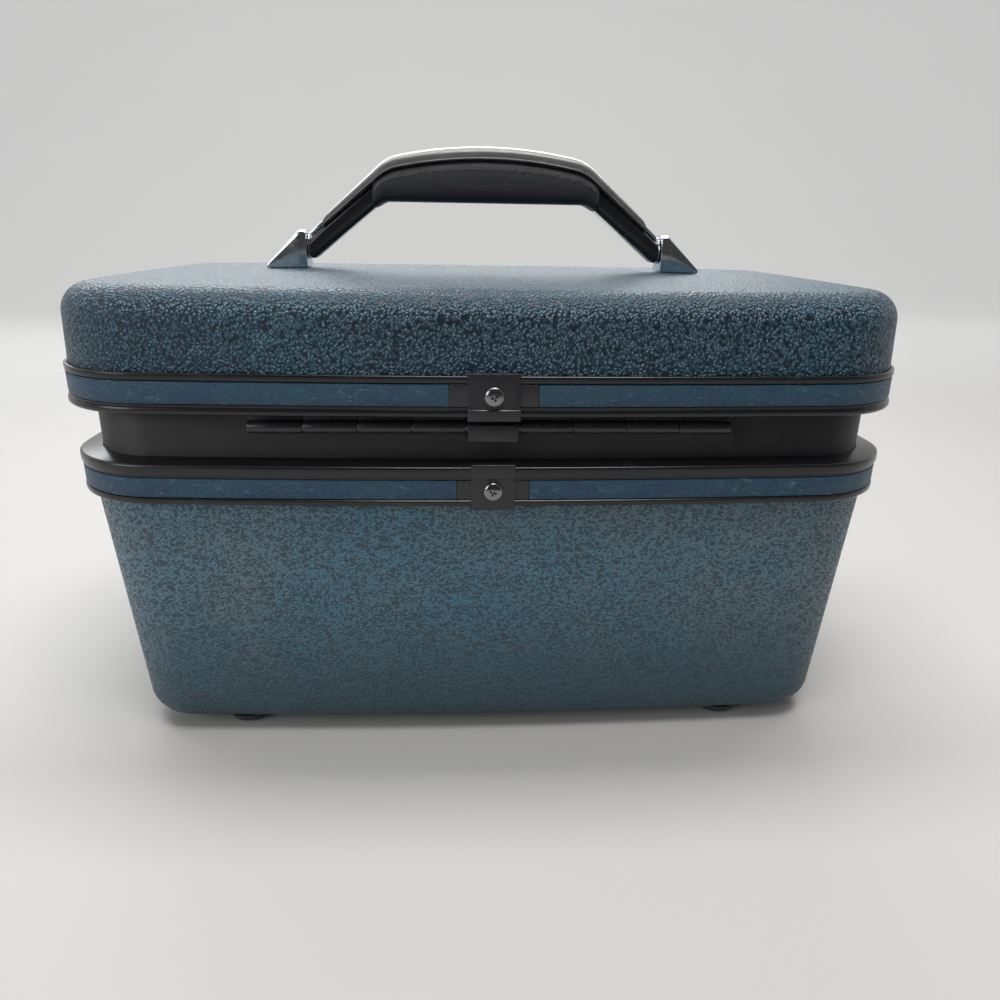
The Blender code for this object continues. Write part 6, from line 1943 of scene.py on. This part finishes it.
# Latches and feet
@dataclass
class Latch:
    """Latch with a base and a button on the body, a hasp on its pin and a keeper on the lid."""

    side: Side
    x: float = 90.0 * MM
    width: float = 40.0 * MM
    metal: float = 1.6 * MM
    block_depth: float = 4.2 * MM
    block_height: float = 15.6 * MM
    block_top: float = 133.0 * MM
    knuckle: float = 3.0 * MM
    axis_z: float = 137.5 * MM
    ear: float = 7.0 * MM
    frame_inset: float = 0.9 * MM
    hasp_top: float = 167.6 * MM
    bends: Pair = (147.0 * MM, 154.0 * MM)
    bulge: float = 2.6 * MM
    hook: float = 1.6 * MM
    rest_turn: float = radians(4.5)
    keeper_width: float = 18.0 * MM
    keeper_plate: float = 0.8 * MM
    keeper_height: float = 12.5 * MM
    lug_height: float = 2.4 * MM
    button_length: float = 15.0 * MM
    button_height: float = 8.4 * MM
    button_travel: float = 5.0 * MM
    button_round: float = 1.6 * MM
    button_floor: float = 1.3 * MM
    button_proud: float = 1.3 * MM
    run_gap: float = 0.4 * MM
    edge: float = 0.35 * MM
    block_round: float = 1.0 * MM
    ear_edge: float = 0.2 * MM
    button_edge: float = 0.3 * MM
    keeper_edge: float = 0.2 * MM

    @property
    def face(self) -> float:
        """Distance of the latch's back from the middle of the case."""
        return CASE.side_y(0.0, self.x) + FIT_GAP

    @property
    def seat(self) -> Matrix:
        """Turn that follows the bow of the front."""
        near, far = self.x - self.width / 2, self.x + self.width / 2
        rise = CASE.side_y(0.0, near) - CASE.side_y(0.0, far)
        return about((self.side.value * self.x, -self.face, 0.0),
                     self.side.value * atan2(rise, self.width), "Z")

    def node(self, part: str) -> str:
        """Name of one of the latch's solids."""
        return f"latch_{part}_{self.side.word}"

    def build(self) -> None:
        """Make the latch."""
        centre = self.side.value * self.x
        left, right = centre - self.width / 2, centre + self.width / 2
        axis = (self.knuckle - self.metal - self.face, self.axis_z)
        outer = axis[0] - self.knuckle
        inner = outer + self.metal
        block_front = -self.face - self.block_depth
        bottom = self.block_top - self.block_height
        seat = inner + self.frame_inset
        arc = corner_arc((block_front, self.block_top), self.block_round, -self.block_round, 5)
        foot = [(y, bottom + self.block_top - z) for y, z in arc[::-1]]
        block = drawn("block", [(seat, self.block_top - self.frame_inset), (seat, bottom)] + foot + arc
                      + [(inner, self.block_top)], left, right)
        low = bottom + (self.block_height - self.button_height) / 2
        rest_inner = centre - self.side.value * (self.button_length + self.button_travel) / 2
        rest_outer = rest_inner + self.side.value * self.button_length
        ends = sorted((rest_inner - self.side.value * self.run_gap,
                       rest_outer + self.side.value * (self.button_travel + self.run_gap)))
        track_back = -self.face - self.button_floor
        track = drawn("track", rounded_box((ends[0], low - self.run_gap),
                                           (ends[1], low + self.button_height + self.run_gap),
                                           self.button_round + self.run_gap),
                      track_back, block_front - CUT_OVERRUN, Axis.Y)
        block = eased(cut(block, track), self.edge)
        roll = curl(axis, self.knuckle, self.metal, self.block_top, below=True)
        ears = [eased(drawn("ear", roll, *span), self.ear_edge, 2, 60.0)
                for span in ((left, left + self.ear), (right - self.ear, right))]
        base = moved(joined(f"latch_body_{self.side.word}", [block, *ears]), self.seat)
        dress(base, CHROME, Body.CASE, self.node("base"))

        button_ends = sorted((rest_inner, rest_outer))
        flat = np.array(rounded_box((button_ends[0], low), (button_ends[1], low + self.button_height),
                                    self.button_round))
        middle = flat.mean(axis=0)
        rows = [np.insert(middle + (flat - middle) * share, 1, at, axis=1)
                for at, share in ((track_back - FIT_GAP, 1.0), (block_front, 1.0),
                                  (block_front - 0.6 * self.button_proud, 0.93),
                                  (block_front - self.button_proud, 0.72))]
        button = moved(eased(skin(f"release_{self.side.word}", rows), self.button_edge), self.seat)
        dress(button, RIM_BLACK, f"button_{self.side.word}", self.node("button"))
        refinish(self.node("pin"), STEEL)

        start, end = self.bends
        out_y, in_y = outer - self.bulge, inner - self.bulge
        lip = self.hasp_top - self.metal
        hook = in_y + self.hook
        half = self.metal / 2
        profile = curl(axis, self.knuckle, self.metal, axis[1] + self.knuckle)
        profile += [(inner, start), (in_y, end), (in_y, lip), (hook, lip), (hook, self.hasp_top - half),
                    (hook - half, self.hasp_top), (out_y + half, self.hasp_top),
                    (out_y, self.hasp_top - half), (out_y, end), (outer, start)]
        hasp = eased(drawn(f"hasp_plate_{self.side.word}", profile, left + self.ear + FIT_GAP,
                           right - self.ear - FIT_GAP), self.edge, 3, 25.0)
        moved(hasp, about((centre, *axis), self.rest_turn, "X"))
        dress(moved(hasp, self.seat), CHROME, f"hasp_{self.side.word}", self.node("hasp"))

        lug_top = lip - FIT_GAP
        front = in_y + FIT_GAP
        plate = -self.face - self.keeper_plate
        high = lug_top + self.metal
        profile = [(-self.face, high - self.keeper_height), (-self.face, high), (plate, high),
                   (plate, lug_top), (front, lug_top), (front, lug_top - self.lug_height / 2),
                   (plate, lug_top - self.lug_height * 1.5), (plate, high - self.keeper_height)]
        keeper = eased(drawn(f"keeper_lug_{self.side.word}", profile, centre - self.keeper_width / 2,
                             centre + self.keeper_width / 2), self.keeper_edge)
        dress(moved(keeper, self.seat), CHROME, Body.LID, self.node("keeper"))


@dataclass
class Feet:
    """Four low domed feet."""

    x: float = 113.5 * MM
    y: float = 69.0 * MM
    radius: float = 10.0 * MM
    top: float = 4.7 * MM

    def build(self) -> None:
        """Make the feet as one moulded set."""
        rings = [(0.3 * self.radius, 0.0), (0.45 * self.radius, 0.0)]
        rings += [(self.radius * (0.45 + 0.55 * sin(turn)), self.top * 0.92 * (1.0 - cos(turn)))
                  for turn in np.linspace(0.0, pi / 2, 12)[1:]]
        rings += [(self.radius, self.top)]
        foot = skin("feet", turned_body(rings, (0.0, 0.0), Axis.Z, 56))
        feet = repeated(foot, FOOT_RUBBER, 2, (-self.x, -self.y, 0.0), (2 * self.x, 0.0, 0.0), 2,
                        (0.0, 2 * self.y, 0.0))
        nodes = [f"foot_{end}_{side.word}" for end in ("front", "back") for side in Side]
        dress(feet, FOOT_RUBBER, Body.CASE, *nodes)


# Stage
@dataclass(frozen=True)
class Lamp:
    """Rectangular lamp: what it points at, its width and height, its power in watts and its colour."""

    name: str
    place: Triple
    aim: Triple
    size: Pair
    power: float
    colour: Triple

    def hang(self) -> None:
        """Add the lamp to the scene, unseen by the camera."""
        data = bpy.data.lights.new(self.name, "AREA")
        data.shape = "RECTANGLE"
        data.size, data.size_y = self.size
        data.energy = self.power
        data.color = self.colour
        made = bpy.data.objects.new(self.name, data)
        made.location = self.place
        made.rotation_euler = (Vector(self.aim) - Vector(self.place)).to_track_quat("-Z", "Y").to_euler()
        made.visible_camera = False
        bpy.context.scene.collection.objects.link(made)


CASE_MIDDLE = (0.0, 0.0, 0.12)
LAMPS = (
    Lamp("overhead", (-0.1, 0.45, 1.25), CASE_MIDDLE, (0.6, 0.35), 7.0, (1.0, 0.98, 0.95)),
    Lamp("skylight", (0.05, -0.15, 1.4), (0.05, -0.15, 0.0), (1.6, 0.35), 17.0, (1.0, 0.99, 0.97)),
    Lamp("back_window", (0.2, -1.3, 0.95), (0.0, 0.0, 0.2), (2.0, 0.6), 18.0, (0.97, 0.99, 1.0)),
    Lamp("side_window", (1.3, 1.0, 0.7), CASE_MIDDLE, (0.9, 0.9), 9.0, (0.97, 0.99, 1.0)),
)


@dataclass
class Stage:
    """Pale floor and backdrop, soft lamps and the camera."""

    lens: float = 27.49
    place: Triple = (14.34 * MM, 388.47 * MM, 223.15 * MM)
    yaw: float = radians(3.44)
    pitch: float = radians(19.68)
    roll: float = radians(0.96)
    half_floor: float = 4.0
    wall_y: float = -3.0
    wall_height: float = 3.4
    curve: float = 1.2
    colour: Triple = (0.48, 0.475, 0.47)
    shown_in_gloss: float = 0.45
    gloss_from: Pair = (-1.2, -0.4)
    shown_to_camera: float = 0.42
    camera_from: Pair = (0.7, 2.2)
    world_light: float = 0.28
    world_seen: float = 0.34
    world_gloss: float = 0.85
    gloss_less: float = 0.22

    def backdrop(self) -> None:
        """Make the floor that curves up into the backdrop."""
        centre = (self.wall_y + self.curve, self.curve)
        chain = [(self.half_floor, 0.0)]
        chain += [(centre[0] - self.curve * sin(turn), centre[1] - self.curve * cos(turn))
                  for turn in np.linspace(0.0, pi / 2, 25)]
        chain += [(self.wall_y, self.wall_height)]
        points = [(x, y, z) for y, z in chain for x in (-self.half_floor, self.half_floor)]
        faces = [(at, at + 1, at + 3, at + 2) for at in range(0, len(points) - 2, 2)]
        mesh = bpy.data.meshes.new("backdrop")
        mesh.from_pydata(points, [], faces)
        mesh.shade_smooth()
        made = bpy.data.materials.new("pale backdrop")
        made.use_nodes = True
        shader = made.node_tree.nodes["Principled BSDF"]
        shader.inputs["Roughness"].default_value = 0.9
        shader.inputs["Specular IOR Level"].default_value = 0.1
        net = Net(made.node_tree)
        clouds = net.noise(net.place(), 3.0, 2.0)
        paler = tuple(value * 1.04 for value in self.colour)
        net.tree.links.new(net.mix(clouds, self.colour, paler).socket, shader.inputs["Base Color"])
        along = net.node("ShaderNodeSeparateXYZ", None, {"Vector": net.place()}, "Y")
        glossy = net.node("ShaderNodeLightPath", None, None, "Is Glossy Ray")
        seen = Sock(net, glossy.socket.node.outputs["Is Camera Ray"])
        reach = net.node("ShaderNodeVectorMath", {"operation": "LENGTH"}, {0: net.place()}, "Value")
        pale = (glossy * (1.0 - along.step(*self.gloss_from)) * self.shown_in_gloss
                + seen * reach.step(*self.camera_from) * self.shown_to_camera)
        shader.inputs["Emission Strength"].default_value = 1.0
        net.tree.links.new(pale.socket, shader.inputs["Emission Color"])
        mesh.materials.append(made)
        link("backdrop", mesh)

    def lamps(self) -> None:
        """Hang the lamps and set the world round them."""
        for lamp in LAMPS:
            lamp.hang()
        world = bpy.data.worlds.new("studio")
        bpy.context.scene.world = world
        world.use_nodes = True
        net = Net(world.node_tree)
        background = world.node_tree.nodes["Background"]
        light = net.node("ShaderNodeLightPath", None, None, "Is Camera Ray")
        paths = light.socket.node
        seen = light.math("MAXIMUM", Sock(net, paths.outputs["Is Transmission Ray"]))
        glossy = Sock(net, paths.outputs["Is Glossy Ray"])
        direction = net.node("ShaderNodeTexCoord", None, None, "Generated")
        along = net.node("ShaderNodeSeparateXYZ", None, {"Vector": direction}, "Y")
        behind = 1.0 - along.step(-0.5, 0.7)
        gloss = glossy * (behind * self.world_gloss - self.gloss_less)
        strength = seen * self.world_seen + gloss + self.world_light
        net.tree.links.new(strength.socket, background.inputs["Strength"])
        background.inputs["Color"].default_value = (1.0, 1.0, 1.0, 1.0)

    def camera(self) -> None:
        """Set the camera at the photograph's angle."""
        ahead = Vector((-sin(self.yaw) * cos(self.pitch),
                        -cos(self.yaw) * cos(self.pitch), -sin(self.pitch)))
        level = ahead.cross(Vector((0.0, 0.0, 1.0))).normalized()
        upright = level.cross(ahead)
        right = level * cos(self.roll) + upright * sin(self.roll)
        up = upright * cos(self.roll) - level * sin(self.roll)
        data = bpy.data.cameras.new("camera")
        data.lens = self.lens
        data.sensor_width = 36.0
        data.clip_start = 0.01
        made = bpy.data.objects.new("camera", data)
        made.matrix_world = Matrix.Translation(Vector(self.place)) @ Matrix(
            (right, up, -ahead)).transposed().to_4x4()
        bpy.context.scene.collection.objects.link(made)
        bpy.context.scene.camera = made

    def build(self) -> None:
        """Make the stage."""
        bpy.context.scene.view_settings.view_transform = "Standard"
        self.backdrop()
        self.lamps()
        self.camera()


def main() -> None:
    """Dress the whole case."""
    logging.basicConfig(level=logging.INFO, format="%(message)s")
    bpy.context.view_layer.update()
    Stage().build()
    BodyShell().build()
    lid = LidShell()
    lid.build()
    Trim("lower", LOWER_FACE, Body.CASE, splice_width=28.8 * MM, clip_width=17.4 * MM,
         slot_turn=radians(-17.0)).build()
    Trim("upper", UPPER_FACE, Body.LID, splice_width=34.4 * MM, clip_width=20.4 * MM,
         slot_turn=radians(20.0)).build()
    PianoHinge().build()
    Handle(lid).build()
    Interior().build()
    for side in Side:
        Latch(side).build()
    Feet().build()
    bpy.context.view_layer.update()


if __name__ == "__main__":
    main()
